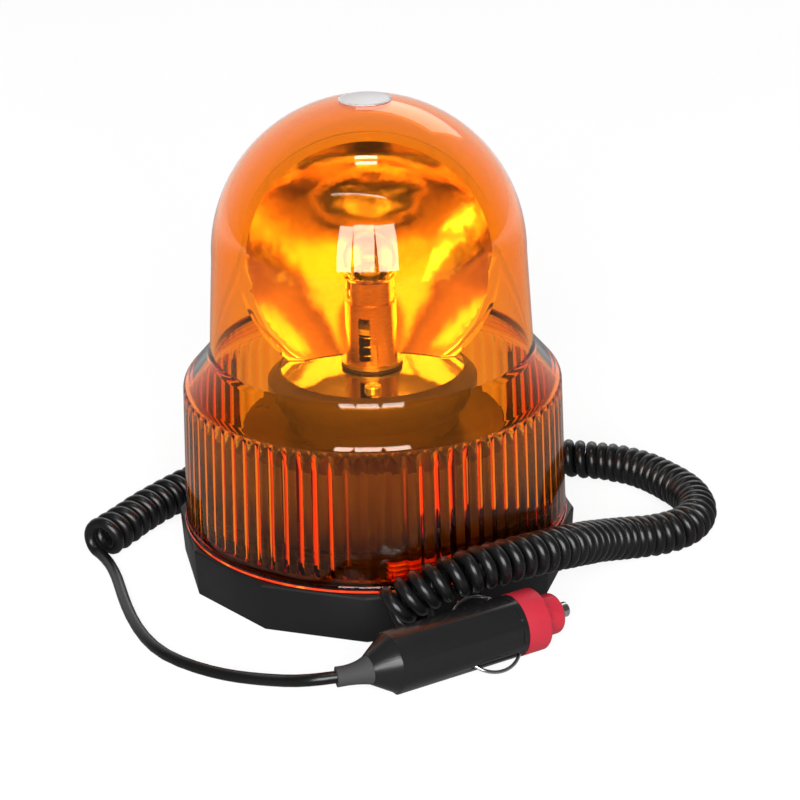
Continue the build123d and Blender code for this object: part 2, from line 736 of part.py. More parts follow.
def tooth_outline(teeth, root_r, tip_r, slack, steps):
    """Half widths, as (radius, angle) pairs, of a tooth that thins by slack at its pitch circle."""
    pitch_r = TEETH_MODULE * teeth / 2
    base = pitch_r * math.cos(math.radians(PRESSURE_ANGLE))
    half = math.pi / (2 * teeth) - slack / (2 * pitch_r) + involute_angle(pitch_r, base)
    start = max(root_r, base)
    flank = []
    for k in range(steps + 1):
        radius = start + (tip_r - start) * k / steps
        flank.append((radius, half - involute_angle(radius, base)))
    if root_r < base:
        flank.insert(0, (root_r, flank[0][1]))
    return flank


def gear_face(teeth, root_r, tip_r, slack, steps, turn):
    """A gear's outline, one tooth after another, with one tooth centred at an angle."""
    flank = tooth_outline(teeth, root_r, tip_r, slack, steps)
    points = []
    for k in range(teeth):
        middle = math.radians(turn) + 2 * math.pi * k / teeth
        for radius, width in flank:
            points.append((radius * math.cos(middle - width), radius * math.sin(middle - width)))
        for radius, width in reversed(flank):
            points.append((radius * math.cos(middle + width), radius * math.sin(middle + width)))
    return make_face(Polyline(*points, close=True))


def make_turntable():
    drum = turned([
        (BUSH_R + SKIN, hub_z),
        (HUB_R, hub_z),
        (HUB_R, recess_z - WEB_T),
        (ring_root_r, recess_z - WEB_T),
        (ring_root_r, gear_z + GEAR_FACE),
        (ring_tip_r, gear_z + GEAR_FACE),
        (ring_tip_r, gear_z),
        (gear_r, gear_z),
        (gear_r, recess_z - WEB_T),
        (RIM_R - RIM_WALL, recess_z - WEB_T),
        (RIM_R - RIM_WALL, recess_z - WEB_T - RIM_BAND),
        (RIM_FOOT_R - RIM_WALL, gear_z + GEAR_FACE),
        (RIM_FOOT_R, gear_z + GEAR_FACE),
        (RIM_R, recess_z - WEB_T - RIM_BAND),
        (RIM_R, mirror_z - RIM_EDGE_DROP),
        (RIM_BEVEL_R, mirror_z),
        (FLOOR_DISC_R + RECESS_GAP, mirror_z),
        (FLOOR_DISC_R + RECESS_GAP, recess_z),
        (BUSH_R + SKIN, recess_z),
    ])
    spaces = gear_face(RING_TEETH, ring_tip_r - 0.2, ring_root_r, -BACKLASH / 2, 1, 90)
    drum = drum - extrude(Pos(0, 0, gear_z) * spaces, GEAR_FACE)
    for azimuth in screw_azimuths():
        place = around(azimuth, REFLECTOR_SCREW_RING)
        low = recess_z - WEB_T
        boss = rod(REFLECTOR_HEAD_R, low - REFLECTOR_SCREW_LENGTH / 2, low, place.X, place.Y)
        drum = drum + boss
        drum = drum - rod(REFLECTOR_SCREW_R, low - REFLECTOR_SCREW_LENGTH, recess_z, place.X, place.Y)
    return drum


def make_motor_pinion():
    root = pinion_pitch_r - PINION_DEDENDUM
    tip = pinion_pitch_r + PINION_ADDENDUM
    face = gear_face(PINION_TEETH, root, tip, BACKLASH / 2, 4, 90)
    body = extrude(Pos(0, motor_offset, pinion_z) * face, PINION_FACE)
    return body - rod(SHAFT_R + SKIN, pinion_z, pinion_z + PINION_FACE, 0, motor_offset)


def screw_azimuths():
    """Azimuths of the reflector's screws, one at the front and two behind the bowl."""
    return [0.0, REFLECTOR_SCREW_BACK, -REFLECTOR_SCREW_BACK]


def bowl_solid(thickness):
    """The paraboloid inside one skin of the bowl, its axis level and its mouth to the front."""
    focus = BOWL_FOCUS + thickness
    rim = BOWL_R + thickness
    mouth = BOWL_FOCUS - BOWL_R ** 2 / (4 * BOWL_FOCUS)
    steps = 8
    points = [(rim * k / steps, focus - (focus - mouth) * (k / steps) ** 2) for k in range(steps + 1)]
    curve = Spline(*points)
    face = make_face(curve.edges() + Polyline((rim, mouth), (0, mouth), (0, focus)).edges())
    body = revolve(Plane.XY * face, axis=Axis.Y)
    return Pos(0, 0, bowl_z) * body


def make_reflector():
    mouth = BOWL_FOCUS - BOWL_R ** 2 / (4 * BOWL_FOCUS)
    shell = bowl_solid(REFLECTOR_T)
    lip = Cylinder(BOWL_R + REFLECTOR_T + BOWL_LIP, REFLECTOR_T)
    lip = Pos(0, mouth + REFLECTOR_T / 2, bowl_z) * Rot(90, 0, 0) * lip
    shell = shell + lip
    outline = Polyline(
        (mouth + REFLECTOR_T, mirror_z),
        (GUSSET_BACK, mirror_z),
        (GUSSET_BACK, mirror_z + GUSSET_EDGE),
        (BOWL_FOCUS, mirror_z + GUSSET_H),
        (mouth + REFLECTOR_T, mirror_z + GUSSET_H),
        close=True,
    )
    gusset = extrude(Plane.YZ * make_face(outline), GUSSET_T / 2, both=True)
    body = shell
    for side in (-1, 1):
        body = body + Pos(side * GUSSET_SPREAD, 0, 0) * gusset
    body = body - bowl_solid(0)
    keep = Box(BOWL_R * 4, BOWL_R * 4, BOWL_R * 4, align=(Align.CENTER, Align.MIN, Align.MIN))
    body = body & Pos(0, mouth, mirror_z) * keep
    disc = tube(FLOOR_DISC_R, BUSH_R + FLOOR_HOLE_GAP, recess_z, mirror_z)
    for azimuth in screw_azimuths():
        place = around(azimuth, REFLECTOR_SCREW_RING)
        disc = disc - rod(REFLECTOR_SCREW_R + SCREW_GAP, recess_z - 1, mirror_z + 1, place.X, place.Y)
    bore = tube(BUSH_R + FLOOR_HOLE_GAP, 0, recess_z, retainer_z + RETAINER_T + RETAINER_GAP)
    return disc + body - bore


def make_reflector_screws():
    one = screw(
        REFLECTOR_SCREW_R - SKIN, REFLECTOR_SCREW_LENGTH, REFLECTOR_HEAD_R, REFLECTOR_HEAD_H,
        cross=REFLECTOR_CROSS,
    )
    places = [around(azimuth, REFLECTOR_SCREW_RING, mirror_z) for azimuth in screw_azimuths()]
    return [Pos(p.X, p.Y, p.Z) * one for p in places]


def motor_tube(outer, inner, low, high):
    """An upright ring on the motor's axis."""
    return Pos(0, motor_offset, 0) * tube(outer, inner, low, high)


def make_motor_can():
    inner = MOTOR_R - MOTOR_WALL
    body = motor_tube(MOTOR_R, inner, motor_z, motor_top)
    body = body + motor_tube(MOTOR_R, 0, motor_top - MOTOR_WALL, motor_top)
    body = body + motor_tube(MOTOR_BOSS_R, 0, motor_top, motor_top + MOTOR_BOSS_H)
    bore = motor_tube(BEARING_R, 0, motor_top - MOTOR_WALL - 1, motor_top + MOTOR_BOSS_H - MOTOR_WALL)
    body = body - bore - motor_tube(SHAFT_R * 1.4, 0, motor_top, motor_top + MOTOR_BOSS_H + 1)
    for side in (-1, 1):
        x = side * MOTOR_SCREW_SPREAD
        body = body - rod(MOTOR_SCREW_R, motor_top - MOTOR_WALL - 1, motor_top + 1, x, motor_offset)
    return body


def make_motor_bearings():
    top = motor_top + MOTOR_BOSS_H - MOTOR_WALL
    bore = SHAFT_R + SHAFT_GAP
    upper = motor_tube(BEARING_R - SKIN, bore, top - BEARING_T, top)
    low = motor_z
    lower = motor_tube(BEARING_R - SKIN, bore, low, low + BEARING_T)
    return [upper, lower]


def make_motor_end_cap():
    body = motor_tube(MOTOR_R, 0, motor_z - MOTOR_CAP_T, motor_z)
    ledge = motor_tube(MOTOR_R - MOTOR_WALL - SKIN, BEARING_R, motor_z, motor_z + BEARING_T)
    body = body + ledge
    for side in (-1, 1):
        slot = Box(TERMINAL_T + 0.1, TERMINAL_W + 0.1, MOTOR_CAP_T * 4)
        body = body - Pos(side * TERMINAL_SPREAD, motor_offset, motor_z - MOTOR_CAP_T) * slot
    return body


def make_motor_terminals():
    height = TERMINAL_DROP + MOTOR_CAP_T
    tab = Box(TERMINAL_T, TERMINAL_W, height, align=(Align.CENTER, Align.CENTER, Align.MAX))
    return [Pos(side * TERMINAL_SPREAD, motor_offset, motor_z) * tab for side in (-1, 1)]


def make_motor_shaft():
    return rod(SHAFT_R, motor_z, pinion_z + PINION_FACE, 0, motor_offset)


def make_motor_rotor():
    low = motor_z + ROTOR_LIFT
    body = motor_tube(ROTOR_R, SHAFT_R + SKIN, low, low + ROTOR_H)
    slot = Box(ROTOR_R, 1.2, ROTOR_H, align=(Align.MIN, Align.CENTER, Align.MIN))
    for k in range(ROTOR_SLOTS):
        turn = Rot(0, 0, 360 / ROTOR_SLOTS * k)
        body = body - Pos(0, motor_offset, low) * turn * Pos(SHAFT_R * 3, 0, 0) * slot
    commutator = motor_tube(SHAFT_R * 2.6, SHAFT_R + SKIN, low - ROTOR_LIFT * 0.5, low)
    return body + commutator


def make_motor_magnets():
    outer = MOTOR_R - MOTOR_WALL
    low = motor_z + ROTOR_LIFT
    ring = motor_tube(outer - SKIN, MAGNET_ARC_IN_R, low, low + ROTOR_H)
    gap = outer * 2 * math.cos(math.radians(MAGNET_ARC / 2))
    half = Box(outer, outer * 2, MOTOR_H, align=(Align.MIN, Align.CENTER, Align.MIN))
    left = ring & Pos(gap / 2, motor_offset, motor_z) * half
    right = ring & Pos(-gap / 2 - outer, motor_offset, motor_z) * half
    return [left, right]


def make_motor_screws():
    one = screw(
        MOTOR_SCREW_R - SKIN, MOTOR_SCREW_LENGTH, MOTOR_SCREW_HEAD_R, MOTOR_SCREW_HEAD_H - 0.1,
        cross=MOTOR_CROSS,
    )
    z = chassis_top - MOTOR_SCREW_HEAD_H
    return [Pos(side * MOTOR_SCREW_SPREAD, motor_offset, z) * one for side in (-1, 1)]


def tube_along(points, radius):
    """A round tube along straight runs joined by tangent arcs, and its centreline."""
    runs = [(Vector(*b) - Vector(*a)) for a, b in zip(points, points[1:])]
    radii = []
    for first, second in zip(runs, runs[1:]):
        half_turn = math.radians(first.get_angle(second)) / 2
        radii.append(0.45 * min(first.length, second.length) / math.tan(half_turn))
    path = FilletPolyline(*points, radius=radii)
    section = Plane(origin=path @ 0, z_dir=path % 0) * Circle(radius)
    body = sweep(section, path=path)
    print("radii", [round(r, 1) for r in radii])
    ratio = body.volume / (math.pi * radius ** 2 * path.length)
    print("length", round(path.length, 1), "volume share", round(ratio, 4))
    return body


def make_cord_lead():
    plane = gland_plane()
    reach = BASE_WALL / 2 + GLAND_GAP + GLAND_RIM_T + GLAND_NOSE_L
    start = plane.origin + plane.z_dir * reach
    return tube_along([tuple(start)] + LEAD_ROUTE, WIRE_R)


def make_cord_curl():
    return tube_along(CURL_ROUTE, CURL_R)


def curl_tail_point():
    """The foot of the last turn of the curl, on its end face."""
    last = Vector(*CURL_ROUTE[-1])
    return (last.X, last.Y, WIRE_R)


def make_cord_tail():
    end = Plane(plug_plane().location * relief_plane(RELIEF_L).location)
    before = end.origin - end.z_dir * TAIL_END_RUN
    points = [curl_tail_point()] + TAIL_ROUTE + [tuple(before), tuple(end.origin)]
    return tube_along(points, WIRE_R)


def make_inner_wires():
    """Two wires from the gland, up through the floor and back to the motor's terminals."""
    plane = gland_plane()
    inside = -BASE_WALL / 2 - GLAND_GAP - GLAND_RIM_T
    run_z = floor_top + INNER_WIRE_LIFT
    wires = []
    for side in (-1, 1):
        aside = side * INNER_WIRE_R * 1.2
        start = plane.from_local_coords((-aside, 0, inside))
        hole = around(GLAND_AZ, WIRE_HOLE_PLACE) + plane.x_dir * -aside
        tab_x = side * TERMINAL_SPREAD
        points = [
            tuple(start),
            (hole.X, hole.Y, start.Z),
            (hole.X, hole.Y, run_z),
            (hole.X + (tab_x - hole.X) * 0.45, hole.Y * 0.5, run_z),
            (tab_x, -hole.Y * 0.05, run_z),
            (tab_x, motor_offset - TERMINAL_W / 2, run_z),
        ]
        wires.append(tube_along(points, INNER_WIRE_R))
    return wires


def plug_plane():
    """The tail end of the plug's body, its normal towards the tip, its x where the first bow is."""
    turn = math.radians(PLUG_HEADING)
    axis = Vector(math.cos(turn), math.sin(turn), 0)
    side = Vector(math.sin(turn), -math.cos(turn), 0)
    roll = math.radians(PLUG_ROLL)
    return Plane(
        origin=PLUG_TAIL,
        x_dir=side * math.cos(roll) - Vector(0, 0, 1) * math.sin(roll),
        z_dir=axis,
    )


def plug_ring(outer, inner, low, high):
    """A ring on the plug's axis, in the plug's own frame."""
    return tube(outer, inner, low, high)


def make_plug_body():
    round_bar = plug_ring(PLUG_R, 0, PLUG_CONE_L, PLUG_BODY_L)
    flats = extrude(RegularPolygon(PLUG_FLAT_R, 8, major_radius=False), PLUG_BODY_L)
    flats = flats + plug_ring(PLUG_R, 0, PLUG_BODY_L - 2.0, PLUG_BODY_L)
    body = round_bar & Rot(0, 0, 22.5) * flats
    up = (Align.CENTER, Align.CENTER, Align.MIN)
    body = body + Cone(PLUG_CONE_R, PLUG_FLAT_R, PLUG_CONE_L, align=up)
    body = body - plug_ring(PLUG_BORE_R, 0, PLUG_CONE_L + PLUG_BACK_T, PLUG_BODY_L)
    body = body - plug_ring(WIRE_R, 0, 0, PLUG_CONE_L + PLUG_BACK_T)
    width = BOW_WIRE_R * 2 + BOW_SLOT_GAP * 2
    length = BOW_SPAN + BOW_WIRE_R * 2 + BOW_SLOT_GAP * 2
    slot = Box(PLUG_R * 2, width, length, align=(Align.MIN, Align.CENTER, Align.CENTER))
    for turn in (0, 180):
        body = body - Rot(0, 0, turn) * Pos(0, 0, BOW_MIDDLE) * slot
    return body


def make_plug_cap():
    low = PLUG_BODY_L
    middle = low + PLUG_COLLAR_L
    high = middle + PLUG_NOSE_L
    collar = plug_ring(PLUG_COLLAR_R, 0, low, middle)
    collar = fillet(collar.edges().group_by(Axis.Z)[-1], 1.2)
    nose = plug_ring(PLUG_NOSE_R, 0, middle - 1, high)
    nose = fillet(nose.edges().group_by(Axis.Z)[-1], 2.2)
    inner = plug_ring(TIP_HEAD_R + TIP_GAP, 0, low, high - PLUG_NOSE_L / 2)
    flats = Box(PLUG_COLLAR_R * 2, PLUG_NOSE_R * 2 - 1.6, PLUG_NOSE_L)
    nose = nose & (Pos(0, 0, high - PLUG_NOSE_L / 2) * flats + plug_ring(PLUG_NOSE_R, 0, low, middle))
    return collar + nose - inner - plug_ring(TIP_R + TIP_GAP, 0, low, high)


def tip_shoulder():
    """Height of the tip's shoulder, against the inside of the plug's nose."""
    return PLUG_BODY_L + PLUG_COLLAR_L + PLUG_NOSE_L / 2


def make_plug_tip():
    shoulder = tip_shoulder()
    top = PLUG_BODY_L + PLUG_COLLAR_L + PLUG_NOSE_L + TIP_OUT
    pin = rod(TIP_R, shoulder, top)
    pin = fillet(pin.edges().group_by(Axis.Z)[-1], 0.7)
    return pin + rod(TIP_HEAD_R, shoulder - TIP_HEAD_T, shoulder)


def make_plug_tip_spring():
    high = tip_shoulder() - TIP_HEAD_T - TIP_SPRING_WIRE_R
    pitch = (TIP_SPRING_L - TIP_SPRING_WIRE_R * 2) / TIP_SPRING_TURNS
    height = TIP_SPRING_L - TIP_SPRING_WIRE_R * 2
    path = Helix(pitch, height, TIP_SPRING_R - TIP_SPRING_WIRE_R, center=(0, 0, high - height))
    section = Plane(origin=path @ 0, z_dir=path % 0) * Circle(TIP_SPRING_WIRE_R - SKIN)
    return sweep(section, path=path, is_frenet=True)


def fuse_top():
    """Height of the fuse's front end, clear of the tip's spring by the tip's travel."""
    return tip_shoulder() - TIP_HEAD_T - TIP_SPRING_L - TIP_TRAVEL - TIP_GAP * 2


def make_plug_fuse_glass():
    low = fuse_top() - FUSE_L
    return plug_ring(FUSE_R, FUSE_R - 0.6, low + 1.0, fuse_top() - 1.0)


def make_plug_fuse_caps():
    caps = []
    for low, shift in ((fuse_top() - FUSE_L, 0.0), (fuse_top() - FUSE_CAP_L, 1.0)):
        shell = plug_ring(FUSE_CAP_R, 0, low, low + FUSE_CAP_L)
        end = low + (1.0 - shift) * 0.9
        shell = shell - plug_ring(FUSE_R + SKIN, 0, end, end + FUSE_CAP_L - 0.9)
        caps.append(shell)
    return caps


def make_plug_fuse_seat():
    low = PLUG_CONE_L + PLUG_BACK_T
    high = fuse_top() - FUSE_L
    seat = plug_ring(PLUG_BORE_R - 0.1, 0, low, high)
    holder = plug_ring(PLUG_BORE_R - 0.1, FUSE_CAP_R + 0.1, high, high + FUSE_CAP_L / 2)
    return seat + holder


def make_plug_contact():
    """One sprung wire bow, lying in the slot in the barrel's side."""
    half = BOW_SPAN / 2
    foot = BOW_FOOT_R
    low = (foot, 0, BOW_MIDDLE - half)
    high = (foot, 0, BOW_MIDDLE + half)
    arc = ThreePointArc(low, (BOW_REACH, 0, BOW_MIDDLE), high)
    section = Plane(origin=arc @ 0, z_dir=arc % 0) * Circle(BOW_WIRE_R)
    return sweep(section, path=arc)


def relief_plane(reach):
    """A section of the bent sleeve, in the plug's frame, at a reach behind the barrel."""
    turn = math.radians(RELIEF_TURN) * reach / RELIEF_L
    chord = reach * math.sin(turn / 2) / (turn / 2) if reach else 0.0
    roll = math.radians(PLUG_ROLL)
    side = Vector(math.cos(roll), -math.sin(roll), 0)
    ahead = Vector(0, 0, 1)
    place = ahead * (-chord * math.cos(turn / 2)) + side * (-chord * math.sin(turn / 2))
    return Plane(origin=place, z_dir=ahead * math.cos(turn) + side * math.sin(turn))


def make_plug_relief():
    """A soft sleeve on the cord, bent by it, and flared where it meets the barrel."""
    sections = []
    bores = []
    for reach, radius in ((0, RELIEF_ROOT_R), (RELIEF_ROOT_L, RELIEF_WAIST_R), (RELIEF_L, RELIEF_R)):
        sections.append(relief_plane(reach) * Circle(radius))
        bores.append(relief_plane(reach) * Circle(WIRE_R))
    return loft(sections) - loft(bores)


def in_plug_frame(shape):
    return plug_plane().location * shape


def save(name, made):
    """Write one node. A list is a group of separate solids."""
    solids = []
    for piece in made if isinstance(made, list) else [made]:
        solids.extend(piece.solids())
    export_step(Compound(children=solids) if len(solids) > 1 else solids[0], f"parts/{name}.step")
    print(name, len(solids))


def main():
    save("base_housing", make_base_housing())
    save("cable_gland", make_cable_gland())
    save("magnet_pad", make_magnet_pad())
    save("pole_cup", make_pole_cup())
    save("ring_magnet", make_ring_magnet())
    save("magnet_screw", make_magnet_screw())
    save("lens_seal", make_lens_seal())
    save("lens_cover", make_lens_cover())
    save("lens_sticker", make_lens_sticker())
    save("chassis", make_chassis())
    save("chassis_screws", make_chassis_screws())
    save("lamp_post", make_lamp_post())
    save("spring_seat", make_spring_seat())
    save("lamp_socket", make_lamp_socket())
    save("contact_disc", make_contact_disc())
    save("contact_plunger", make_contact_plunger())
    save("contact_spring", make_contact_spring())
    save("bulb_cap", make_bulb_cap())
    save("bulb_contact", make_bulb_contact())
    save("bulb_glass", make_bulb_glass())
    save("bulb_filament", make_bulb_filament())
    save("thrust_washer", make_thrust_washer())
    save("turntable_bush", make_turntable_bush())
    save("retaining_ring", make_retaining_ring())
    save("turntable", make_turntable())
    save("reflector", make_reflector())
    save("reflector_screws", make_reflector_screws())
    save("motor_pinion", make_motor_pinion())
    save("motor_can", make_motor_can())
    save("motor_bearings", make_motor_bearings())
    save("motor_end_cap", make_motor_end_cap())
    save("motor_terminals", make_motor_terminals())
    save("motor_shaft", make_motor_shaft())
    save("motor_rotor", make_motor_rotor())
    save("motor_magnets", make_motor_magnets())
    save("motor_screws", make_motor_screws())
    save("inner_wires", make_inner_wires())
    save("cord_lead", make_cord_lead())
    save("cord_curl", make_cord_curl())
    save("cord_tail", make_cord_tail())
    save("plug_body", in_plug_frame(make_plug_body()))
    save("plug_cap", in_plug_frame(make_plug_cap()))
    save("plug_tip", in_plug_frame(make_plug_tip()))
    save("plug_tip_spring", in_plug_frame(make_plug_tip_spring()))
    save("plug_fuse_glass", in_plug_frame(make_plug_fuse_glass()))
    save("plug_fuse_caps", [in_plug_frame(cap) for cap in make_plug_fuse_caps()])
    save("plug_fuse_seat", in_plug_frame(make_plug_fuse_seat()))
    save("plug_contact_low", in_plug_frame(make_plug_contact()))
    save("plug_contact_high", in_plug_frame(Rot(0, 0, 180) * make_plug_contact()))
    save("plug_relief", in_plug_frame(make_plug_relief()))


main()
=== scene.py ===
"""Looks of a rotating beacon: amber lens, turning bowl, black base, curly cord and its plug."""

import json
import math
import random

import bpy
from bpy.props import FloatProperty, FloatVectorProperty, IntProperty, PointerProperty
from mathutils import Matrix, Vector


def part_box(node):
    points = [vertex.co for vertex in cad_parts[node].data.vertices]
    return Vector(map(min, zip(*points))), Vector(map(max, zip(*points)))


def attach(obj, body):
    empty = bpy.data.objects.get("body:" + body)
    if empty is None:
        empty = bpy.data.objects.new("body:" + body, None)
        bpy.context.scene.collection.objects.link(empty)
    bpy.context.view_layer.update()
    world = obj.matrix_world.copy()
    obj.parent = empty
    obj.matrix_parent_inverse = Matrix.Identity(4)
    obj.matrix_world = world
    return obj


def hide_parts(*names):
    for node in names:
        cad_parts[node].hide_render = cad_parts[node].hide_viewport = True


bl_info = {
    "name": "Rotating Beacon",
    "version": (1, 0, 0),
    "blender": (4, 5, 0),
    "location": "3D Viewport > Sidebar > Beacon",
    "description": "Dresses the packed frame of a rotating warning beacon and sets its stage",
    "category": "Object",
}

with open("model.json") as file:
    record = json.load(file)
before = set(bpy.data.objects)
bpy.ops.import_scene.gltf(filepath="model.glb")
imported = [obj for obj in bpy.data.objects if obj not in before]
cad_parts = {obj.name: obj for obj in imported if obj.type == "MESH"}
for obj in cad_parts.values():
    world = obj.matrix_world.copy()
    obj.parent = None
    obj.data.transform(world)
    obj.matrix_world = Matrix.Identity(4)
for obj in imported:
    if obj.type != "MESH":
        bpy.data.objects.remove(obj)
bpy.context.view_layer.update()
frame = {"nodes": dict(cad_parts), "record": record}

# The route of the curly cord, repeated from the part's source, in metres.
LEAD_ROUTE = [
    (0.01437, -0.07061, 0.00877),
    (0.0126, -0.0772, 0.0092),
    (0.0070, -0.0783, 0.0106),
]
CURL_ROUTE = [
    (0.0040, -0.0795, 0.0175),
    (0.0135, -0.0786, 0.0235),
    (0.0260, -0.0758, 0.0278),
    (0.0400, -0.0694, 0.0283),
    (0.0516, -0.0603, 0.0266),
    (0.0614, -0.0510, 0.0240),
    (0.0702, -0.0394, 0.0198),
    (0.0794, -0.0252, 0.0140),
    (0.0900, -0.0150, 0.0096),
    (0.1015, -0.0094, 0.0076),
    (0.1115, -0.0042, 0.0075),
    (0.1179, 0.0043, 0.0075),
    (0.1197, 0.0155, 0.0075),
    (0.1175, 0.0270, 0.0075),
    (0.1109, 0.0388, 0.0075),
    (0.1035, 0.0492, 0.0075),
    (0.0920, 0.0570, 0.0075),
    (0.0750, 0.0615, 0.0075),
    (0.0570, 0.0690, 0.0075),
    (0.0370, 0.0775, 0.0075),
    (0.0130, 0.0835, 0.0075),
    (-0.0130, 0.0835, 0.0075),
    (-0.0380, 0.0755, 0.0075),
    (-0.0570, 0.0620, 0.0075),
    (-0.0705, 0.0462, 0.0075),
    (-0.0805, 0.0337, 0.0075),
    (-0.0890, 0.0215, 0.0075),
    (-0.0952, 0.0094, 0.0075),
    (-0.1018, 0.0002, 0.0075),
]
TAIL_ROUTE = [
    (-0.0976, -0.0080, 0.00205),
    (-0.0938, -0.0195, 0.00205),
    (-0.0904, -0.0345, 0.00205),
    (-0.0862, -0.0500, 0.00205),
    (-0.0804, -0.0655, 0.00205),
    (-0.0726, -0.0782, 0.00205),
    (-0.0615, -0.0874, 0.00205),
    (-0.0515, -0.0930, 0.0021),
    (-0.0435, -0.0976, 0.0032),
    (-0.0358, -0.1038, 0.0057),
    (-0.0275, -0.1108, 0.0090),
    (-0.0192, -0.11315, 0.0108),
    (-0.0143, -0.1120, 0.0108),
]
# Where the lead meets the first turn, and how far the turns lie apart and swell along the curl, as
# (distance along it, pitch) and (distance along it, share of the radius), in metres.
FIRST_TURN = (0.0046, -0.0756, 0.0142)
TURN_PITCH = [
    (0.0, 0.0052),
    (0.060, 0.0054),
    (0.105, 0.0046),
    (0.125, 0.0041),
    (0.200, 0.0041),
    (0.245, 0.0046),
    (0.340, 0.0047),
    (0.410, 0.0055),
    (0.480, 0.0055),
]
TURN_SWELL = [
    (0.0, 1.03),
    (0.110, 1.03),
    (0.160, 1.0),
    (0.230, 0.97),
    (0.340, 0.97),
    (0.430, 1.03),
    (0.460, 1.05),
]
# How unevenly the turns are wound: in their radius, as a share, and along the curl, in metres.
TURN_SCATTER = 0.015
TURN_LEAN = 0.00035
# Short steps in which the turns are counted along the curl.
CURL_STEPS = 4000
# How much fuller the sheath is where it is wound.
CURL_FULLNESS = 1.07
# The reflector's paraboloid: its focal length and the height of its axis. Then its floor's height,
# a place behind the face of its lip and a little over half its wall.
BOWL_FOCUS = 0.024
BOWL_HEIGHT = 0.111
BOWL_FLOOR = 0.075
BOWL_LIP_BACK = 0.0048
HALF_WALL = 0.0009
# The lens, as the part's source has it, with heights counted from its foot.
SKIRT_FOOT_R = 0.0690
SKIRT_TOP_R = 0.0673
SKIRT_IN_R = 0.0660
SKIRT_H = 0.052
SHOULDER_R = 0.0573
SHOULDER_H = 0.0634
SHOULDER_ROUND = 0.005
DOME_R = 0.0550
DOME_WALL = 0.0023
LIP_R = 0.0624
FLANGE_R = 0.0693
FLANGE_TOP_R = 0.0691
FLANGE_H = 0.0022
FLANGE_EDGE = 0.0003
ARC_STEPS = 36
# Its inner corners at the dome's foot and at the skirt's top, and where the wall goes between them,
# as (radius, height over the floor), with the round of the second.
INNER_NECK = (0.0556, 0.0805)
INNER_SLOPE = (0.0654, 0.0683)
INNER_TOP = (0.0646, 0.0690)
INNER_ROUND = 0.003
# The flutes inside the skirt: where they run, how they fade in at the top and end at the foot, how
# deep they are, and how many points and rows make one.
FLUTE_FOOT = 0.0042
FLUTE_TOP = 0.0482
FLUTE_FADE = 0.0016
FLUTE_END = 0.0004
FLUTE_DEPTH = 0.0017
FLUTE_POINTS = 10
FLUTE_ROWS = 8
FADE_ROWS = 4
# The rim round the flange, a thin band that carries a painted glow: its inner and outer radius, its
# low and high edge over the foot.
RIM_RADII = (0.06928, 0.06945)
RIM_EDGES = (0.0001, 0.0009)
# The short ribs inside the lens's foot, which carry a painted glow: their heights over the floor,
# their radii with half their thickness there, and the angles at which they start and through which
# they run.
RIB_HEIGHTS = (0.0214, 0.0231, 0.0250, 0.0268)
RIB_ROOT_R = 0.0655
RIB_ROOT_HALF = 0.0003
RIB_TIP_R = 0.0632
RIB_TIP_HALF = 0.0001
RIB_START = 3.9
RIB_TURN = 26.0
# The thread round the spigot, with half its width at its root and at its crest.
THREAD_ROOT_R = 0.0614
THREAD_CREST_R = 0.06225
THREAD_PITCH = 0.0019
THREAD_TURNS = 3
THREAD_ROOT_HALF = 0.0006
THREAD_CREST_HALF = 0.00025
# How bright the panes, the strips and the world are, where 1 is white.
PANE_GLOW = 9.0
STRIP_GLOW = 13.0
WORLD_GLOW = 0.3
# How much brighter the front of the studio is where the reflector sees it through the lens.
FRONT_GLOW = 1.0
# How much darker the floor is in a reflection.
MIRRORED_DIM = 0.85


class Sizes(bpy.types.PropertyGroup):
    """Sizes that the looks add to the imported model"""

    wire: FloatProperty(
        name="Cord", description="Diameter of the cord's sheath", default=0.0041, unit="LENGTH"
    )
    curl: FloatProperty(
        name="Curl", description="Outer diameter of the cord's turns", default=0.0150, unit="LENGTH"
    )
    turn_points: IntProperty(
        name="Points", description="Points in each turn of the cord", default=16, min=12, max=32
    )
    flutes: IntProperty(
        name="Flutes", description="Flutes round the inside of the lens skirt", default=76, min=12
    )


class Colours(bpy.types.PropertyGroup):
    """Colours of the beacon's materials"""

    amber: FloatVectorProperty(
        name="Lens", description="Amber of the lens", subtype="COLOR", default=(1.0, 0.72, 0.20)
    )
    black: FloatVectorProperty(
        name="Housing", description="Moulded black", subtype="COLOR", default=(0.010, 0.0095, 0.010)
    )
    sheath: FloatVectorProperty(
        name="Sheath",
        description="Black of the cord",
        subtype="COLOR",
        default=(0.006, 0.0058, 0.006),
    )
    red: FloatVectorProperty(
        name="Plug cap",
        description="Red of the plug cap",
        subtype="COLOR",
        default=(0.48, 0.021, 0.040),
    )


def sizes():
    return bpy.context.scene.beacon_sizes


def colours():
    return bpy.context.scene.beacon_colours


class Value:
    """A socket of a material. Python's operators on it add Math nodes."""

    def __init__(self, finish, socket):
        self.finish = finish
        self.socket = socket

    def math(self, operation, other):
        return self.finish.node("ShaderNodeMath", {"operation": operation}, {0: self, 1: other})[0]

    def __add__(self, other):
        return self.math("ADD", other)

    def __mul__(self, other):
        return self.math("MULTIPLY", other)

    def __sub__(self, other):
        return self.math("SUBTRACT", other)

    def __rsub__(self, other):
        return (self * -1.0) + other

    def __truediv__(self, other):
        return self.math("DIVIDE", other)

    def __gt__(self, other):
        return self.math("GREATER_THAN", other)

    def between(self, low, high):
        """0 below low, 1 above high, smooth in the middle."""
        settings = {"interpolation_type": "SMOOTHSTEP"}
        return self.finish.node("ShaderNodeMapRange", settings, {0: self, 1: low, 2: high})[0]


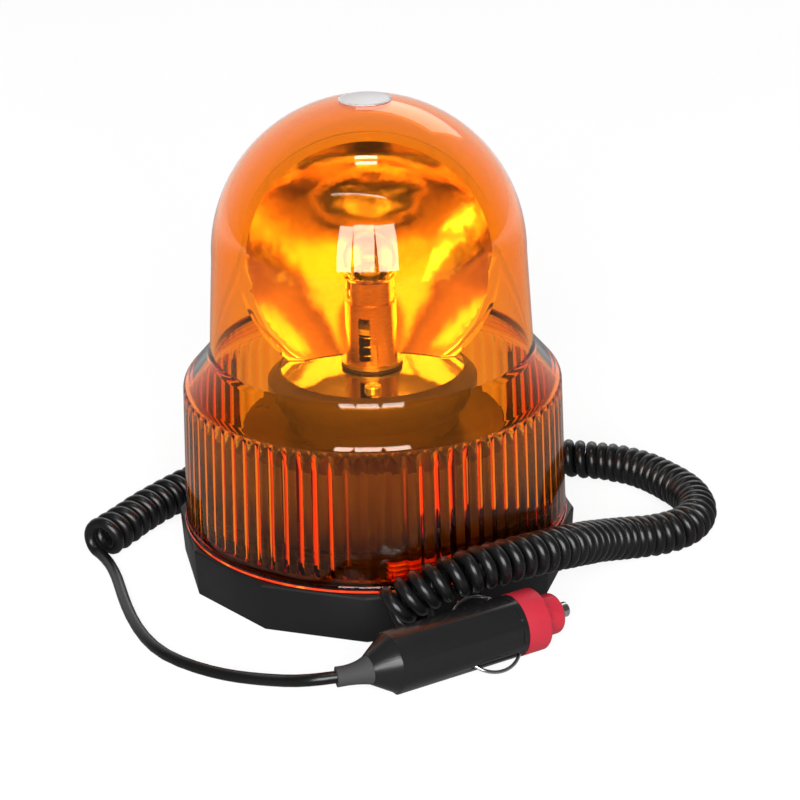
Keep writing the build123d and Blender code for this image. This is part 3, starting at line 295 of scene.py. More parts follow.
class Finish:
    """The nodes of one material, or of the world, made by one method, and its surface."""

    def __init__(self, name, world=None):
        self.material = world or bpy.data.materials.new(name)
        self.material.use_nodes = True
        self.tree = self.material.node_tree
        self.tree.nodes.clear()

    def node(self, kind, settings=None, values=None):
        """Adds a node: settings first, then its sockets' values or links. Gives its outputs."""
        made = self.tree.nodes.new(kind)
        for name, setting in (settings or {}).items():
            setattr(made, name, setting)
        for key, value in (values or {}).items():
            if isinstance(value, Value):
                self.tree.links.new(value.socket, made.inputs[key])
            elif hasattr(value, "__len__") and len(value) == 3:
                socket = made.inputs[key]
                socket.default_value = (*value, 1.0) if socket.type == "RGBA" else tuple(value)
            else:
                made.inputs[key].default_value = value
        return [Value(self, output) for output in made.outputs]

    def place(self):
        """The object's own coordinates."""
        return self.node("ShaderNodeTexCoord")[3]

    def noise(self, scale, detail=3.0, rough=0.55, stretch=(1, 1, 1)):
        """Soft noise of a scale per metre, 0 to 1, that a stretch can draw out along an axis."""
        where = self.place()
        if stretch != (1, 1, 1):
            where = self.node("ShaderNodeMapping", None, {0: where, 3: stretch})[0]
        values = {"Vector": where, "Scale": scale, "Detail": detail, "Roughness": rough}
        return self.node("ShaderNodeTexNoise", None, values)[0]

    def mix(self, share, first, second):
        """A colour between two others."""
        made = self.node("ShaderNodeMix", {"data_type": "RGBA"}, {0: share, 6: first, 7: second})
        return made[2]

    def bump(self, height, strength, distance):
        values = {"Strength": strength, "Distance": distance, "Height": height}
        return self.node("ShaderNodeBump", None, values)[0]

    def surface(self, inside=None, **values):
        """The main shader, its sockets named with underscores, what is inside, and the output."""
        named = {name.replace("_", " "): value for name, value in values.items()}
        ends = {0: self.node("ShaderNodeBsdfPrincipled", None, named)[0]}
        if inside:
            ends[1] = inside
        self.node("ShaderNodeOutputMaterial", None, ends)
        return self.material


def moulded_black(name, colour, grain=5200.0, depth=0.00006, rough=0.42, gloss=0.25):
    """Black moulding: fine spark-eroded grain, faint dust and worn gloss."""
    finish = Finish(name)
    grain_height = finish.noise(grain, 2.0)
    cloud = finish.noise(60.0, 4.0)
    dust = finish.noise(260.0, 5.0, 0.7).between(0.6, 0.85)
    base = finish.mix(dust * 0.06, colour, (0.16, 0.16, 0.165))
    return finish.surface(
        Base_Color=base,
        Specular_IOR_Level=gloss,
        Roughness=(cloud * 0.22) + (rough - 0.11),
        Normal=finish.bump(grain_height, 0.25, depth),
    )


def sheath(name, colour):
    """Soft plastic sheath of the cord."""
    finish = Finish(name)
    cloud = finish.noise(90.0, 3.0)
    fine = finish.noise(3000.0, 2.0)
    dust = finish.noise(220.0, 4.0).between(0.62, 0.8)
    return finish.surface(
        Base_Color=finish.mix(dust * 0.04, colour, (0.12, 0.12, 0.125)),
        Specular_IOR_Level=0.4,
        Roughness=(cloud * 0.12) + 0.22,
        Normal=finish.bump(fine, 0.12, 0.00004),
    )


def glossy_red(name, colour):
    """Red moulding of the plug's cap, a little translucent."""
    finish = Finish(name)
    cloud = finish.noise(70.0, 3.0)
    base = finish.mix(cloud, colour, tuple(c * 0.86 for c in colour))
    return finish.surface(
        Base_Color=base,
        Specular_IOR_Level=0.35,
        Roughness=(finish.noise(400.0, 4.0) * 0.12) + 0.36,
        Subsurface_Weight=0.08,
        Subsurface_Radius=(0.004, 0.001, 0.0006),
        Normal=finish.bump(finish.noise(2400.0, 2.0), 0.1, 0.00003),
    )


def bright_plate(name, colour=(0.92, 0.92, 0.93), rough=0.05):
    """Bright plating with a faint haze."""
    finish = Finish(name)
    haze = finish.noise(120.0, 5.0, 0.65)
    return finish.surface(
        Base_Color=finish.mix(
            haze.between(0.45, 0.8) * 0.3, colour, tuple(c * 0.8 for c in colour)
        ),
        Metallic=1.0,
        Roughness=(haze * 0.08) + rough,
    )


def bowl_plate(name):
    """Plating of the reflector: bright in the bowl, darker on its floor, satin on its back."""
    finish = Finish(name)
    haze = finish.noise(120.0, 5.0, 0.65)
    place = finish.node("ShaderNodeSeparateXYZ", None, {0: finish.place()})
    up = place[2] - BOWL_HEIGHT
    bowl_y = BOWL_FOCUS - ((place[0] * place[0]) + (up * up)) / (4.0 * BOWL_FOCUS)
    back = ((place[1] - bowl_y) > HALF_WALL) * (place[1] > BOWL_LIP_BACK)
    bowl = finish.mix(haze.between(0.45, 0.8) * 0.3, (0.97, 0.96, 0.90), (0.78, 0.77, 0.72))
    face = finish.mix(place[2] > BOWL_FLOOR, (0.27, 0.27, 0.25), bowl)
    return finish.surface(
        Base_Color=finish.mix(back, face, (0.36, 0.36, 0.35)),
        Metallic=1.0,
        Roughness=(haze * 0.08) + 0.03 + (back * 0.25),
        Normal=finish.bump(finish.noise(46.0, 2.0), 0.05, 0.004),
    )


def turned_metal(name, colour, rough=0.28):
    """Turned or drawn metal, with fine lines across the axis."""
    finish = Finish(name)
    lines = finish.noise(700.0, 3.0, 0.6, (1, 1, 40))
    tarnish = finish.noise(180.0, 5.0, 0.65).between(0.45, 0.8)
    return finish.surface(
        Base_Color=finish.mix(tarnish * 0.45, colour, tuple(c * 0.55 for c in colour)),
        Metallic=1.0,
        Roughness=(lines * 0.14) + rough,
        Normal=finish.bump(lines, 0.12, 0.00003),
    )


def plain_moulding(name, colour, rough=0.4):
    """Plain moulding with a faint cloud in its colour."""
    finish = Finish(name)
    cloud = finish.noise(110.0, 4.0)
    return finish.surface(
        Base_Color=finish.mix(cloud, colour, tuple(c * 0.8 for c in colour)),
        Roughness=(cloud * 0.2) + (rough - 0.1),
        Normal=finish.bump(finish.noise(2600.0, 2.0), 0.15, 0.00004),
    )


def rubber(name):
    """Soft black rubber with a pale bloom."""
    finish = Finish(name)
    cloud = finish.noise(140.0, 5.0, 0.65)
    return finish.surface(
        Base_Color=finish.mix(
            cloud.between(0.5, 0.8) * 0.3, (0.02, 0.02, 0.021), (0.06, 0.06, 0.06)
        ),
        Roughness=(cloud * 0.2) + 0.55,
        Normal=finish.bump(finish.noise(1800.0, 3.0), 0.25, 0.00005),
    )


def clear_glass(name):
    """Clear glass of the bulb and the fuse."""
    finish = Finish(name)
    return finish.surface(
        Base_Color=(1.0, 1.0, 1.0),
        Roughness=(finish.noise(90.0, 3.0) * 0.02),
        IOR=1.5,
        Transmission_Weight=1.0,
    )


def amber_moulding(name, colour):
    """Clear amber lens, deeper in colour where it is thick, with the slight waves of a moulding."""
    finish = Finish(name)
    wave = finish.noise(22.0, 2.0)
    scuff = finish.noise(900.0, 4.0, 0.7, (1, 1, 0.2)).between(0.68, 0.8)
    depth = finish.node("ShaderNodeVolumeAbsorption", None, {0: (1.0, 0.68, 0.03), 1: 480.0})[0]
    return finish.surface(
        inside=depth,
        Base_Color=finish.mix(wave, colour, (colour[0], colour[1] * 0.96, colour[2])),
        Roughness=(scuff * 0.08),
        IOR=1.49,
        Transmission_Weight=1.0,
        Normal=finish.bump(wave, 0.02, 0.002),
    )


def lit_edge(name):
    """Edges of the amber moulding, made opaque and painted bright orange: a painted glow that
    stands for the light that runs through the wall.
    """
    finish = Finish(name)
    # Patches where the painted glow is brighter and more orange.
    painted_glow_patches = finish.noise(140.0, 3.0, 0.6).between(0.45, 0.75)
    return finish.surface(
        Base_Color=finish.mix(painted_glow_patches, (0.80, 0.05, 0.012), (1.0, 0.30, 0.03)),
        Roughness=0.2,
        Subsurface_Weight=0.3,
        Subsurface_Radius=(0.003, 0.0008, 0.0003),
    )


def bare_label(name):
    """Paper of the round label."""
    finish = Finish(name)
    fibre = finish.noise(1500.0, 4.0, 0.6)
    return finish.surface(
        Base_Color=finish.mix(fibre, (0.67, 0.64, 0.64), (0.61, 0.58, 0.58)),
        Roughness=(fibre * 0.1) + 0.34,
        Normal=finish.bump(fibre, 0.1, 0.00003),
    )


def made(kind):
    """A named finish, made the first time that it is wanted."""
    known = bpy.data.materials.get(kind)
    if known:
        return known
    shades = colours()
    make, *values = {
        "housing": (moulded_black, shades.black),
        "works_black": (moulded_black, (0.085, 0.075, 0.07), 3000.0, 0.00003, 0.32, 0.4),
        "plug_black": (moulded_black, (0.012, 0.012, 0.0125), 2600.0, 0.00002, 0.2, 0.35),
        "sheath": (sheath, shades.sheath),
        "plug_red": (glossy_red, shades.red),
        "bowl_plate": (bowl_plate,),
        "bright": (bright_plate,),
        "steel": (turned_metal, (0.62, 0.62, 0.63)),
        "spring_steel": (bright_plate, (0.8, 0.8, 0.81), 0.12),
        "brass": (turned_metal, (0.78, 0.60, 0.30)),
        "lamp_metal": (turned_metal, (0.62, 0.40, 0.16), 0.2),
        "copper": (turned_metal, (0.75, 0.36, 0.2)),
        "ferrite": (plain_moulding, (0.05, 0.05, 0.052), 0.6),
        "acetal": (plain_moulding, (0.75, 0.74, 0.7)),
        "bush": (plain_moulding, (0.05, 0.04, 0.035), 0.35),
        "rubber": (rubber,),
        "wire_red": (plain_moulding, (0.5, 0.03, 0.02)),
        "clear": (clear_glass,),
        "amber": (amber_moulding, shades.amber),
        "lit_edge": (lit_edge,),
        "label": (bare_label,),
    }[kind]
    return make(kind, *values)


FINISHES = {
    "base_housing": "housing",
    "cable_gland": "rubber",
    "magnet_pad": "rubber",
    "pole_cup": "steel",
    "ring_magnet": "ferrite",
    "magnet_screw": "steel",
    "lens_seal": "rubber",
    "lens_cover": "amber",
    "lens_sticker": "label",
    "chassis": "works_black",
    "chassis_screws": "steel",
    "lamp_post": "lamp_metal",
    "spring_seat": "brass",
    "lamp_socket": "lamp_metal",
    "contact_disc": "acetal",
    "contact_plunger": "brass",
    "contact_spring": "spring_steel",
    "bulb_cap": "bright",
    "bulb_contact": "brass",
    "bulb_glass": "clear",
    "bulb_filament": "steel",
    "thrust_washer": "acetal",
    "turntable_bush": "bush",
    "retaining_ring": "steel",
    "turntable": "works_black",
    "reflector": "bowl_plate",
    "reflector_screws": "bright",
    "motor_pinion": "acetal",
    "motor_can": "steel",
    "motor_bearings": "brass",
    "motor_end_cap": "works_black",
    "motor_terminals": "brass",
    "motor_shaft": "steel",
    "motor_rotor": "copper",
    "motor_magnets": "ferrite",
    "motor_screws": "steel",
    "inner_wires": "wire_red",
    "plug_body": "plug_black",
    "plug_cap": "plug_red",
    "plug_tip": "bright",
    "plug_tip_spring": "spring_steel",
    "plug_fuse_glass": "clear",
    "plug_fuse_caps": "bright",
    "plug_fuse_seat": "plug_black",
    "plug_contact_low": "bright",
    "plug_contact_high": "bright",
    "plug_relief": "rubber",
    "cord_lead": "sheath",
    "cord_curl": "sheath",
    "cord_tail": "sheath",
}


def body_of(node):
    for name, members in frame["record"]["behaviour"]["bodies"].items():
        if node in members:
            return name
    raise ValueError(node)


def dress(piece, kind):
    piece.data.materials.clear()
    piece.data.materials.append(made(kind))


def clear_selection():
    if bpy.context.object and bpy.context.object.mode != "OBJECT":
        bpy.ops.object.mode_set(mode="OBJECT")
    bpy.ops.object.select_all(action="DESELECT")


def choose(piece):
    clear_selection()
    piece.select_set(True)
    bpy.context.view_layer.objects.active = piece


def apply_modifiers(piece):
    choose(piece)
    for modifier in list(piece.modifiers):
        bpy.ops.object.modifier_apply(modifier=modifier.name)


def new_mesh(name, points, faces):
    mesh = bpy.data.meshes.new(name)
    mesh.from_pydata(points, [], faces)
    mesh.update()
    piece = bpy.data.objects.new(name, mesh)
    bpy.context.scene.collection.objects.link(piece)
    return piece


def turned_piece(name, outline, steps, start=0.0, turn=360.0):
    """Spins a closed outline of (radius, height) round the upright axis. Angles in degrees."""
    clear_selection()
    points = [(r, 0.0, z) for r, z in outline]
    edges = [(i, (i + 1) % len(points)) for i in range(len(points))]
    mesh = bpy.data.meshes.new(name)
    mesh.from_pydata(points, edges, [])
    piece = bpy.data.objects.new(name, mesh)
    bpy.context.scene.collection.objects.link(piece)
    choose(piece)
    bpy.ops.object.mode_set(mode="EDIT")
    bpy.ops.mesh.select_all(action="SELECT")
    bpy.ops.mesh.spin(steps=steps, angle=math.radians(turn), center=(0, 0, 0), axis=(0, 0, 1))
    bpy.ops.mesh.select_all(action="SELECT")
    bpy.ops.mesh.remove_doubles(threshold=0.000002)
    bpy.ops.mesh.fill_holes(sides=len(points))
    bpy.ops.mesh.select_all(action="SELECT")
    bpy.ops.mesh.normals_make_consistent(inside=False)
    bpy.ops.object.mode_set(mode="OBJECT")
    bpy.ops.object.shade_smooth_by_angle(angle=math.radians(32))
    # The spin may run either way round, so the place of a part of a turn says how it is brought
    # to its start.
    ahead = max(vertex.co.y for vertex in mesh.vertices) > 0.001 or turn >= 360
    first = math.radians(start) - math.pi / 2 + (0.0 if ahead else math.radians(turn))
    mesh.transform(Matrix.Rotation(first, 4, "Z"))
    return piece


def copy_of(node, edge):
    """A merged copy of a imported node, with its sharp edges rounded, that stands for the node."""
    source = frame["nodes"][node]
    piece = bpy.data.objects.new(node + "_piece", source.data.copy())
    bpy.context.scene.collection.objects.link(piece)
    choose(piece)
    bpy.ops.object.mode_set(mode="EDIT")
    bpy.ops.mesh.select_all(action="SELECT")
    bpy.ops.mesh.remove_doubles(threshold=0.000004)
    bpy.ops.mesh.dissolve_limited(angle_limit=math.radians(0.5))
    bpy.ops.object.mode_set(mode="OBJECT")
    if edge:
        bevel = piece.modifiers.new("edges", "BEVEL")
        bevel.width = edge
        bevel.segments = 3
        bevel.limit_method = "ANGLE"
        bevel.angle_limit = math.radians(35)
        bevel.use_clamp_overlap = True
        bevel.harden_normals = False
        apply_modifiers(piece)
    bpy.ops.object.shade_smooth_by_angle(angle=math.radians(32))
    dress(piece, FINISHES[node])
    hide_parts(node)
    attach(piece, body_of(node))
    return piece


def smooth_route(name, points, resolution):
    """A smooth curve along the points of a route."""
    curve = bpy.data.curves.new(name, "CURVE")
    curve.dimensions = "3D"
    curve.resolution_u = resolution
    spline = curve.splines.new("NURBS")
    spline.points.add(len(points) - 1)
    for point, place in zip(spline.points, points):
        point.co = (*place, 1.0)
    spline.order_u = 3
    spline.use_endpoint_u = True
    return curve


def route_line(name, points):
    """Points along the smooth line of a route."""
    curve = smooth_route(name, points, 24)
    guide = bpy.data.objects.new(name, curve)
    bpy.context.scene.collection.objects.link(guide)
    bpy.context.view_layer.update()
    line = bpy.data.meshes.new_from_object(guide)
    places = [vertex.co.copy() for vertex in line.vertices]
    bpy.data.objects.remove(guide)
    bpy.data.curves.remove(curve)
    bpy.data.meshes.remove(line)
    return places


def along(table, place):
    """A value between the rows of a table of (distance, value)."""
    for (low, first), (high, second) in zip(table, table[1:]):
        if place <= high:
            return first + (second - first) * max(0.0, (place - low) / (high - low))
    return table[-1][1]


def curl_points():
    """The turns of the cord round the curl's line, from the lead to the tail."""
    size = sizes()
    line = route_line("curl_guide", CURL_ROUTE)
    reach = [0.0]
    for first, second in zip(line, line[1:]):
        reach.append(reach[-1] + (second - first).length)
    total = reach[-1]
    turns = 0.0
    phase = [0.0]
    for k in range(CURL_STEPS):
        turns += total / CURL_STEPS / along(TURN_PITCH, total * (k + 0.5) / CURL_STEPS)
        phase.append(turns)
    wanted = round(turns) + end_turn(line)
    scale = wanted / turns
    count = int(round(wanted * size.turn_points))
    radius = (size.curl - size.wire) / 2 / (math.cos(math.pi / size.turn_points) ** 0.5)
    chance = random.Random(4)
    swell = [chance.uniform(-TURN_SCATTER, TURN_SCATTER) for _ in range(int(wanted) + 3)]
    lean = [chance.uniform(-TURN_LEAN, TURN_LEAN) for _ in range(int(wanted) + 3)]
    made_points = []
    tangent = (line[1] - line[0]).normalized()
    start = Vector(FIRST_TURN) - line[0]
    side = (start - tangent * start.dot(tangent)).normalized()
    segment = 0
    cursor = 0
    for k in range(count + 1):
        turn = wanted * k / count
        while cursor < CURL_STEPS and phase[cursor + 1] * scale < turn:
            cursor += 1
        low = phase[cursor] * scale
        high = phase[min(cursor + 1, CURL_STEPS)] * scale
        share = 0.0 if high == low else min(1.0, (turn - low) / (high - low))
        distance = min(total, total * (cursor + share) / CURL_STEPS)
        while segment < len(line) - 2 and reach[segment + 1] < distance:
            segment += 1
            new_tangent = (line[segment + 1] - line[segment]).normalized()
            side = tangent.rotation_difference(new_tangent) @ side
            tangent = new_tangent
        part = (distance - reach[segment]) / (reach[segment + 1] - reach[segment])
        centre = line[segment].lerp(line[segment + 1], part)
        other = tangent.cross(side)
        angle = 2 * math.pi * turn
        whole = int(turn)
        blend = turn - whole
        grow = along(TURN_SWELL, distance) + swell[whole] * (1 - blend) + swell[whole + 1] * blend
        tip = lean[whole] * (1 - blend) + lean[whole + 1] * blend
        arm = (side * math.cos(angle) + other * math.sin(angle)) * radius * grow
        place = centre + arm + tangent * tip
        place.z = max(place.z, size.wire / 2)
        made_points.append(place)
    return made_points


def end_turn(line):
    """The part of a turn that brings the last loop down on to the floor."""
    tangent = (line[1] - line[0]).normalized()
    start = Vector(FIRST_TURN) - line[0]
    side = (start - tangent * start.dot(tangent)).normalized()
    for first, second in zip(line[1:], line[2:]):
        new_tangent = (second - first).normalized()
        side = tangent.rotation_difference(new_tangent) @ side
        tangent = new_tangent
    other = tangent.cross(side)
    down = Vector((0, 0, -1))
    return math.atan2(down.dot(other), down.dot(side)) / (2 * math.pi)


class BEACON_OT_stage(bpy.types.Operator):
    """Make the floor, the backdrop, the lights and the camera"""

    bl_idname = "beacon.stage"
    bl_label = "Stage"

    def execute(self, context):
        self.camera()
        self.floor()
        self.lights()
        self.world()
        return {"FINISHED"}

    def camera(self):
        data = bpy.data.cameras.new("camera")
        data.lens = 102.13
        data.sensor_width = 36.0
        data.clip_start = 0.05
        data.clip_end = 20.0
        camera = bpy.data.objects.new("camera", data)
        bpy.context.scene.collection.objects.link(camera)
        right = Vector((0.9995499, -0.02149705, -0.02092526))
        up = Vector((0.02758449, 0.38437948, 0.92276298))
        ahead = Vector((0.01179344, 0.92292486, -0.38479946))
        turn = Matrix((right, up, -ahead)).transposed().to_4x4()
        camera.matrix_world = Matrix.Translation((0.0, -0.75022, 0.37253)) @ turn
        bpy.context.scene.camera = camera

    def floor(self):
        clear_selection()
        bpy.ops.mesh.primitive_circle_add(vertices=96, radius=6.0, fill_type="NGON")
        floor = bpy.context.object
        floor.name = "floor"
        finish = Finish("floor")
        path = finish.node("ShaderNodeLightPath")
        seen = path[0].math("MAXIMUM", path[3]).math("MAXIMUM", path[6])
        depth = finish.node("ShaderNodeSeparateXYZ", None, {0: finish.place()})[1]
        near = 1.0 - depth.between(0.2, 0.8)
        front = (0.0 - depth).between(0.08, 0.20) * (depth + 1.0).between(0.68, 0.76)
        dimmed = 1.0 - path[3] * (1.0 - path[6]) * near * MIRRORED_DIM
        level = dimmed + (path[6] * front * FRONT_GLOW)
        plain = finish.node("ShaderNodeBsdfDiffuse", None, {0: (0.88, 0.88, 0.88), 1: 1.0})[0]
        white = finish.node("ShaderNodeEmission", None, {0: (1.0, 1.0, 1.0), 1: level})[0]
        mixed = finish.node("ShaderNodeMixShader", None, {0: seen * 0.85, 1: plain, 2: white})[0]
        finish.node("ShaderNodeOutputMaterial", None, {0: mixed})
        floor.data.materials.append(finish.material)

    def lights(self):
        """Three tall panes behind the camera, two strips overhead and a wide soft fill."""
        for name, place, aim, width, height, glow in (
            ("pane_left", (-0.60, -1.83, 0.80), (0, 0, 0.13), 0.36, 1.16, PANE_GLOW),
            ("pane_middle", (-0.12, -1.83, 0.80), (0, 0, 0.13), 0.50, 1.16, PANE_GLOW),
            ("pane_right", (0.44, -1.83, 0.80), (0, 0, 0.13), 0.50, 1.16, PANE_GLOW),
            ("strip_near", (-0.01, -0.205, 1.8), (-0.01, -0.205, 0), 0.38, 0.08, STRIP_GLOW),
            ("strip_far", (-0.01, -0.06, 1.8), (-0.01, -0.06, 0), 0.38, 0.08, STRIP_GLOW),
            ("cornice", (-0.17, -0.86, 1.55), (0, 0, 0.15), 1.1, 0.03, PANE_GLOW),
            ("back", (0.5, 1.7, 1.2), (0, 0, 0.08), 1.2, 0.8, 1.5),
        ):
            data = bpy.data.lights.new(name, "AREA")
            data.shape = "RECTANGLE"
            data.size = width
            data.size_y = height
            data.energy = 4.0 * glow * width * height
            lamp = bpy.data.objects.new(name, data)
            bpy.context.scene.collection.objects.link(lamp)
            lamp.location = place
            lamp.rotation_euler = (Vector(aim) - Vector(place)).to_track_quat("-Z", "Y").to_euler()

    def world(self):
        """White wherever the camera or the lens looks through, dimmer as light and in front."""
        finish = Finish("studio", bpy.data.worlds.new("studio"))
        bpy.context.scene.world = finish.material
        path = finish.node("ShaderNodeLightPath")
        way = finish.node("ShaderNodeTexCoord")[0]
        depth = finish.node("ShaderNodeSeparateXYZ", None, {0: way})[1]
        behind = depth.between(0.2, 0.9)
        front = (0.0 - depth).between(0.1, 0.5)
        mirrored = path[3] * (1.0 - path[6])
        plain = (mirrored * ((behind * 0.8) + 0.07)) + ((1.0 - mirrored) * WORLD_GLOW)
        through = path[6] * ((front * FRONT_GLOW) + 1.0)
        strength = path[0].math("MAXIMUM", through).math("MAXIMUM", plain)
        light = finish.node("ShaderNodeBackground", None, {0: (1.0, 1.0, 1.0), 1: strength})[0]
        finish.node("ShaderNodeOutputWorld", None, {0: light})
        bpy.context.scene.view_settings.view_transform = "Standard"


class BEACON_OT_cord(bpy.types.Operator):
    """Make the curly cord from the gland to the plug"""

    bl_idname = "beacon.cord"
    bl_label = "Curly cord"

    def execute(self, context):
        size = sizes()
        turns = curl_points()
        points = [Vector(p) for p in LEAD_ROUTE] + turns + [Vector(p) for p in TAIL_ROUTE]
        curve = smooth_route("cord", points, 2)
        curve.bevel_depth = size.wire / 2
        curve.bevel_resolution = 4
        curve.use_fill_caps = True
        wound = slice(len(LEAD_ROUTE) + 4, len(LEAD_ROUTE) + len(turns) - 4)
        for point in curve.splines[0].points[wound]:
            point.radius = CURL_FULLNESS
        cord = bpy.data.objects.new("cord", curve)
        bpy.context.scene.collection.objects.link(cord)
        curve.materials.append(made("sheath"))
        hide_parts("cord_lead", "cord_curl", "cord_tail")
        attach(cord, "base")
        return {"FINISHED"}


def arc(centre, radius, start, end, steps):
    """Points of an arc, in (radius, height), angles from the radius axis in degrees."""
    found = []
    for k in range(steps + 1):
        turn = math.radians(start + (end - start) * k / steps)
        found.append((centre[0] + radius * math.cos(turn), centre[1] + radius * math.sin(turn)))
    return found


def rounded(corner, before, after, radius, steps=6):
    """The points of a fillet at a corner between two neighbours."""
    corner, before, after = Vector(corner), Vector(before), Vector(after)
    first = (before - corner).normalized()
    second = (after - corner).normalized()
    half = first.angle(second) / 2
    room = min((before - corner).length, (after - corner).length) * 0.49
    reach = min(radius / math.tan(half), room)
    radius = reach * math.tan(half)
    middle = corner + (first + second).normalized() * (radius / math.sin(half))
    a = corner + first * reach - middle
    b = corner + second * reach - middle
    turn = a.angle_signed(b)
    found = []
    for k in range(steps + 1):
        angle = -turn * k / steps
        found.append(tuple(middle + Matrix.Rotation(angle, 2) @ a))
    return found


class BEACON_OT_lens(bpy.types.Operator):
    """Make the amber lens, smooth outside and fluted inside its skirt"""

    bl_idname = "beacon.lens"
    bl_label = "Lens"

    def execute(self, context):
        low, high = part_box("lens_cover")
        foot = low.z
        lens = self.moulding(foot, high.z)
        dress(lens, "amber")
        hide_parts("lens_cover")
        pieces = [self.rim(foot)]
        pieces += [self.rib(k + 1, height) for k, height in enumerate(RIB_HEIGHTS)]
        # The rim and the ribs carry a painted glow, opaque bright orange in place of the light that
        # runs through the amber wall.
        for piece in pieces:
            dress(piece, "lit_edge")
        for piece in (lens, *pieces):
            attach(piece, "lens")
        return {"FINISHED"}

    def outer_wall(self, foot, crown):
        """The outside from flange to crown, as (radius, height, share of a flute's depth)."""
        skirt_foot = (SKIRT_FOOT_R, foot + FLANGE_H)
        skirt_top = (SKIRT_TOP_R, foot + SKIRT_H)
        shoulder = (SHOULDER_R, foot + SHOULDER_H)
        wall = [skirt_foot]
        wall += rounded(skirt_top, skirt_foot, shoulder, SHOULDER_ROUND)
        wall += rounded(shoulder, skirt_top, (DOME_R, crown), SHOULDER_ROUND)
        wall += arc((0, crown), DOME_R, 0, 90, ARC_STEPS)
        return [(r, z, 0.0) for r, z in wall]

    def inner_wall(self, foot, crown):
        """The inside from the crown to the top of the flutes."""
        dome_foot = (DOME_R - DOME_WALL, crown)
        wall = arc((0, crown), DOME_R - DOME_WALL, 90, 0, ARC_STEPS)
        wall += rounded(INNER_NECK, dome_foot, INNER_SLOPE, SHOULDER_ROUND)
        wall += rounded(INNER_TOP, INNER_NECK, (SKIRT_IN_R, foot + FLANGE_H), INNER_ROUND)
        return [(r, z, 0.0) for r, z in wall]

    def fluted_wall(self, foot):
        """The inside down the flutes, which fade in at the top and end short at the foot."""
        flange = foot + FLANGE_H
        slope = (SKIRT_FOOT_R - SKIRT_TOP_R) / (SKIRT_H - FLANGE_H)
        top, end = foot + FLUTE_TOP, foot + FLUTE_FOOT
        fades = [k / FADE_ROWS for k in range(FADE_ROWS + 1)]
        heights = [(top + FLUTE_FADE * (1 - fade), fade) for fade in fades]
        heights += [(top + (end - top) * k / FLUTE_ROWS, 1.0) for k in range(1, FLUTE_ROWS + 1)]
        heights.append((end - FLUTE_END, 0.0))
        return [(SKIRT_IN_R - slope * (z - flange), z, depth) for z, depth in heights]

    def foot_wall(self, foot):
        """Round the lip and the flange, back to the outside."""
        flange = foot + FLANGE_H
        return [
            (SKIRT_IN_R, flange + FLUTE_END, 0.0),
            (LIP_R, flange, 0.0),
            (LIP_R, foot, 0.0),
            (SKIRT_FOOT_R, foot, 0.0),
            (FLANGE_R, foot + FLANGE_EDGE, 0.0),
            (FLANGE_R, flange - FLANGE_EDGE, 0.0),
            (FLANGE_TOP_R, flange, 0.0),
        ]

    def moulding(self, foot, top):
        """The whole lens, spun from its profile with the flutes pressed into the skirt."""
        crown = top - DOME_R
        rows = self.outer_wall(foot, crown) + self.inner_wall(foot, crown)
        rows += self.fluted_wall(foot) + self.foot_wall(foot)
        steps = sizes().flutes * FLUTE_POINTS
        points = []
        for radius, z, depth in rows:
            for s in range(steps):
                turn = 2 * math.pi * s / steps
                across = abs((s % FLUTE_POINTS) / FLUTE_POINTS * 2 - 1)
                # Three-cornered, with its corners cut off.
                hollow = min(0.95, max(0.05, 1.0 - across))
                r = radius + FLUTE_DEPTH * hollow * depth
                points.append((r * math.sin(turn), -r * math.cos(turn), z))
        faces = []
        for i in range(len(rows)):
            j = (i + 1) % len(rows)
            for s in range(steps):
                t = (s + 1) % steps
                faces.append((i * steps + s, i * steps + t, j * steps + t, j * steps + s))
        lens = new_mesh("lens_dome", points, faces)
        choose(lens)
        bpy.ops.object.mode_set(mode="EDIT")
        bpy.ops.mesh.select_all(action="SELECT")
        bpy.ops.mesh.remove_doubles(threshold=0.000003)
        bpy.ops.mesh.normals_make_consistent(inside=False)
        bpy.ops.object.mode_set(mode="OBJECT")
        bpy.ops.object.shade_smooth_by_angle(angle=math.radians(40))
        return lens

    def rim(self, foot):
        """The thin band round the flange's edge, which carries a painted glow."""
        low, high = (foot + edge for edge in RIM_EDGES)
        inside, outside = RIM_RADII
        edge = [(inside, low), (outside, low), (outside, high), (inside, high)]
        return turned_piece("lens_rim_painted_glow", edge, 240)

    def rib(self, number, z):
        """One short rib inside the foot, at the front."""
        outline = [
            (RIB_TIP_R, z - RIB_TIP_HALF),
            (RIB_ROOT_R, z - RIB_ROOT_HALF),
            (RIB_ROOT_R, z + RIB_ROOT_HALF),
            (RIB_TIP_R, z + RIB_TIP_HALF),
        ]
        return turned_piece("lens_rib_" + str(number), outline, 40, RIB_START, RIB_TURN)


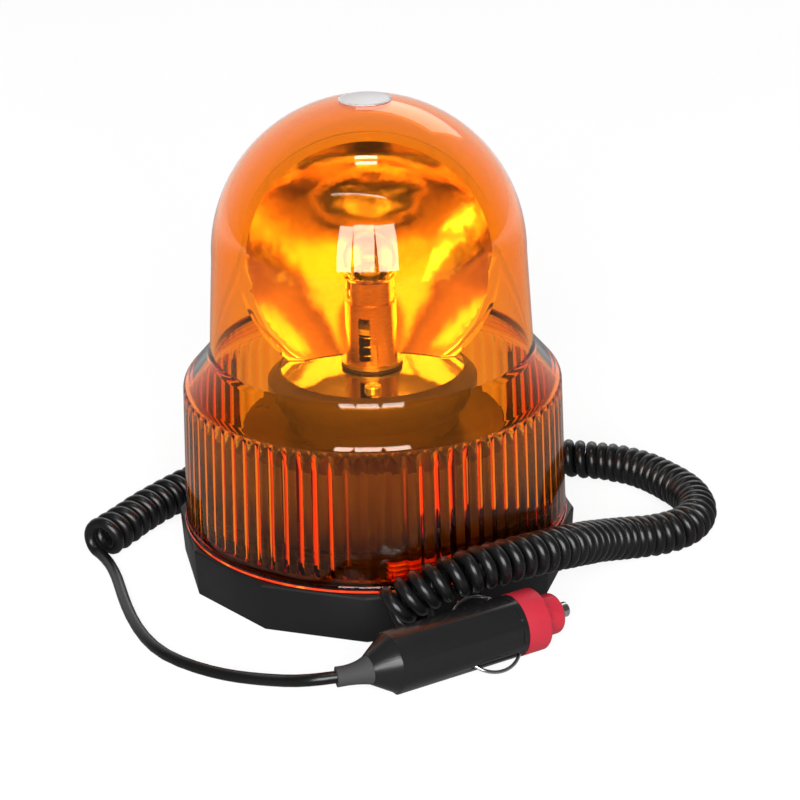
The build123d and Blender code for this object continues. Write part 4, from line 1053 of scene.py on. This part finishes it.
class BEACON_OT_thread(bpy.types.Operator):
    """Make the screw thread round the housing's spigot, under the lens"""

    bl_idname = "beacon.thread"
    bl_label = "Thread"

    def execute(self, context):
        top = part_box("base_housing")[1].z
        foot = top - 0.0005 - THREAD_PITCH * (THREAD_TURNS + 0.5)
        outline = [
            (THREAD_ROOT_R, 0, foot - THREAD_ROOT_HALF),
            (THREAD_CREST_R, 0, foot - THREAD_CREST_HALF),
            (THREAD_CREST_R, 0, foot + THREAD_CREST_HALF),
            (THREAD_ROOT_R, 0, foot + THREAD_ROOT_HALF),
        ]
        thread = new_mesh("spigot_thread", outline, [(0, 1, 2, 3)])
        screw = thread.modifiers.new("thread", "SCREW")
        screw.angle = 2 * math.pi * THREAD_TURNS
        screw.screw_offset = THREAD_PITCH * THREAD_TURNS
        screw.steps = screw.render_steps = 288
        screw.use_smooth_shade = False
        apply_modifiers(thread)
        bpy.ops.object.mode_set(mode="EDIT")
        bpy.ops.mesh.select_all(action="SELECT")
        bpy.ops.mesh.remove_doubles(threshold=0.000001)
        bpy.ops.mesh.fill_holes(sides=8)
        bpy.ops.mesh.normals_make_consistent(inside=False)
        bpy.ops.object.mode_set(mode="OBJECT")
        bpy.ops.object.shade_smooth_by_angle(angle=math.radians(30))
        dress(thread, "housing")
        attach(thread, body_of("base_housing"))
        return {"FINISHED"}


class BEACON_OT_works(bpy.types.Operator):
    """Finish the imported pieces, with their edges rounded where they show"""

    bl_idname = "beacon.works"
    bl_label = "Works"

    def execute(self, context):
        for node, kind in FINISHES.items():
            dress(frame["nodes"][node], kind)
        for node, edge in (
            ("base_housing", 0.0007),
            ("chassis", 0.0004),
            ("turntable", 0.0003),
            ("turntable_bush", 0.0003),
            ("plug_body", 0.0004),
            ("plug_cap", 0.0004),
            ("plug_tip", 0.0002),
            ("reflector", 0.0),
            ("lamp_post", 0.0),
            ("lamp_socket", 0.0),
            ("bulb_glass", 0.0),
            ("bulb_cap", 0.0002),
            ("plug_contact_low", 0.0),
            ("plug_contact_high", 0.0),
            ("contact_spring", 0.0),
            ("lens_sticker", 0.0),
            ("reflector_screws", 0.0001),
            ("plug_relief", 0.0002),
        ):
            copy_of(node, edge)
        return {"FINISHED"}


class BEACON_PT_panel(bpy.types.Panel):
    """Sizes, colours and pieces of the beacon"""

    bl_idname = "BEACON_PT_panel"
    bl_label = "Beacon"
    bl_space_type = "VIEW_3D"
    bl_region_type = "UI"
    bl_category = "Beacon"

    def draw(self, context):
        for group in (context.scene.beacon_sizes, context.scene.beacon_colours):
            for name in group.__annotations__:
                self.layout.prop(group, name)
        for operator in OPERATORS:
            self.layout.operator(operator.bl_idname)


OPERATORS = (BEACON_OT_stage, BEACON_OT_works, BEACON_OT_cord, BEACON_OT_thread, BEACON_OT_lens)
CLASSES = (Sizes, Colours, *OPERATORS, BEACON_PT_panel)


def register():
    for item in CLASSES:
        bpy.utils.register_class(item)
    bpy.types.Scene.beacon_sizes = PointerProperty(type=Sizes)
    bpy.types.Scene.beacon_colours = PointerProperty(type=Colours)


def unregister():
    del bpy.types.Scene.beacon_colours
    del bpy.types.Scene.beacon_sizes
    for item in reversed(CLASSES):
        bpy.utils.unregister_class(item)


def main():
    register()
    bpy.ops.beacon.stage()
    bpy.ops.beacon.works()
    bpy.ops.beacon.cord()
    bpy.ops.beacon.thread()
    bpy.ops.beacon.lens()


if __name__ == "__main__":
    main()
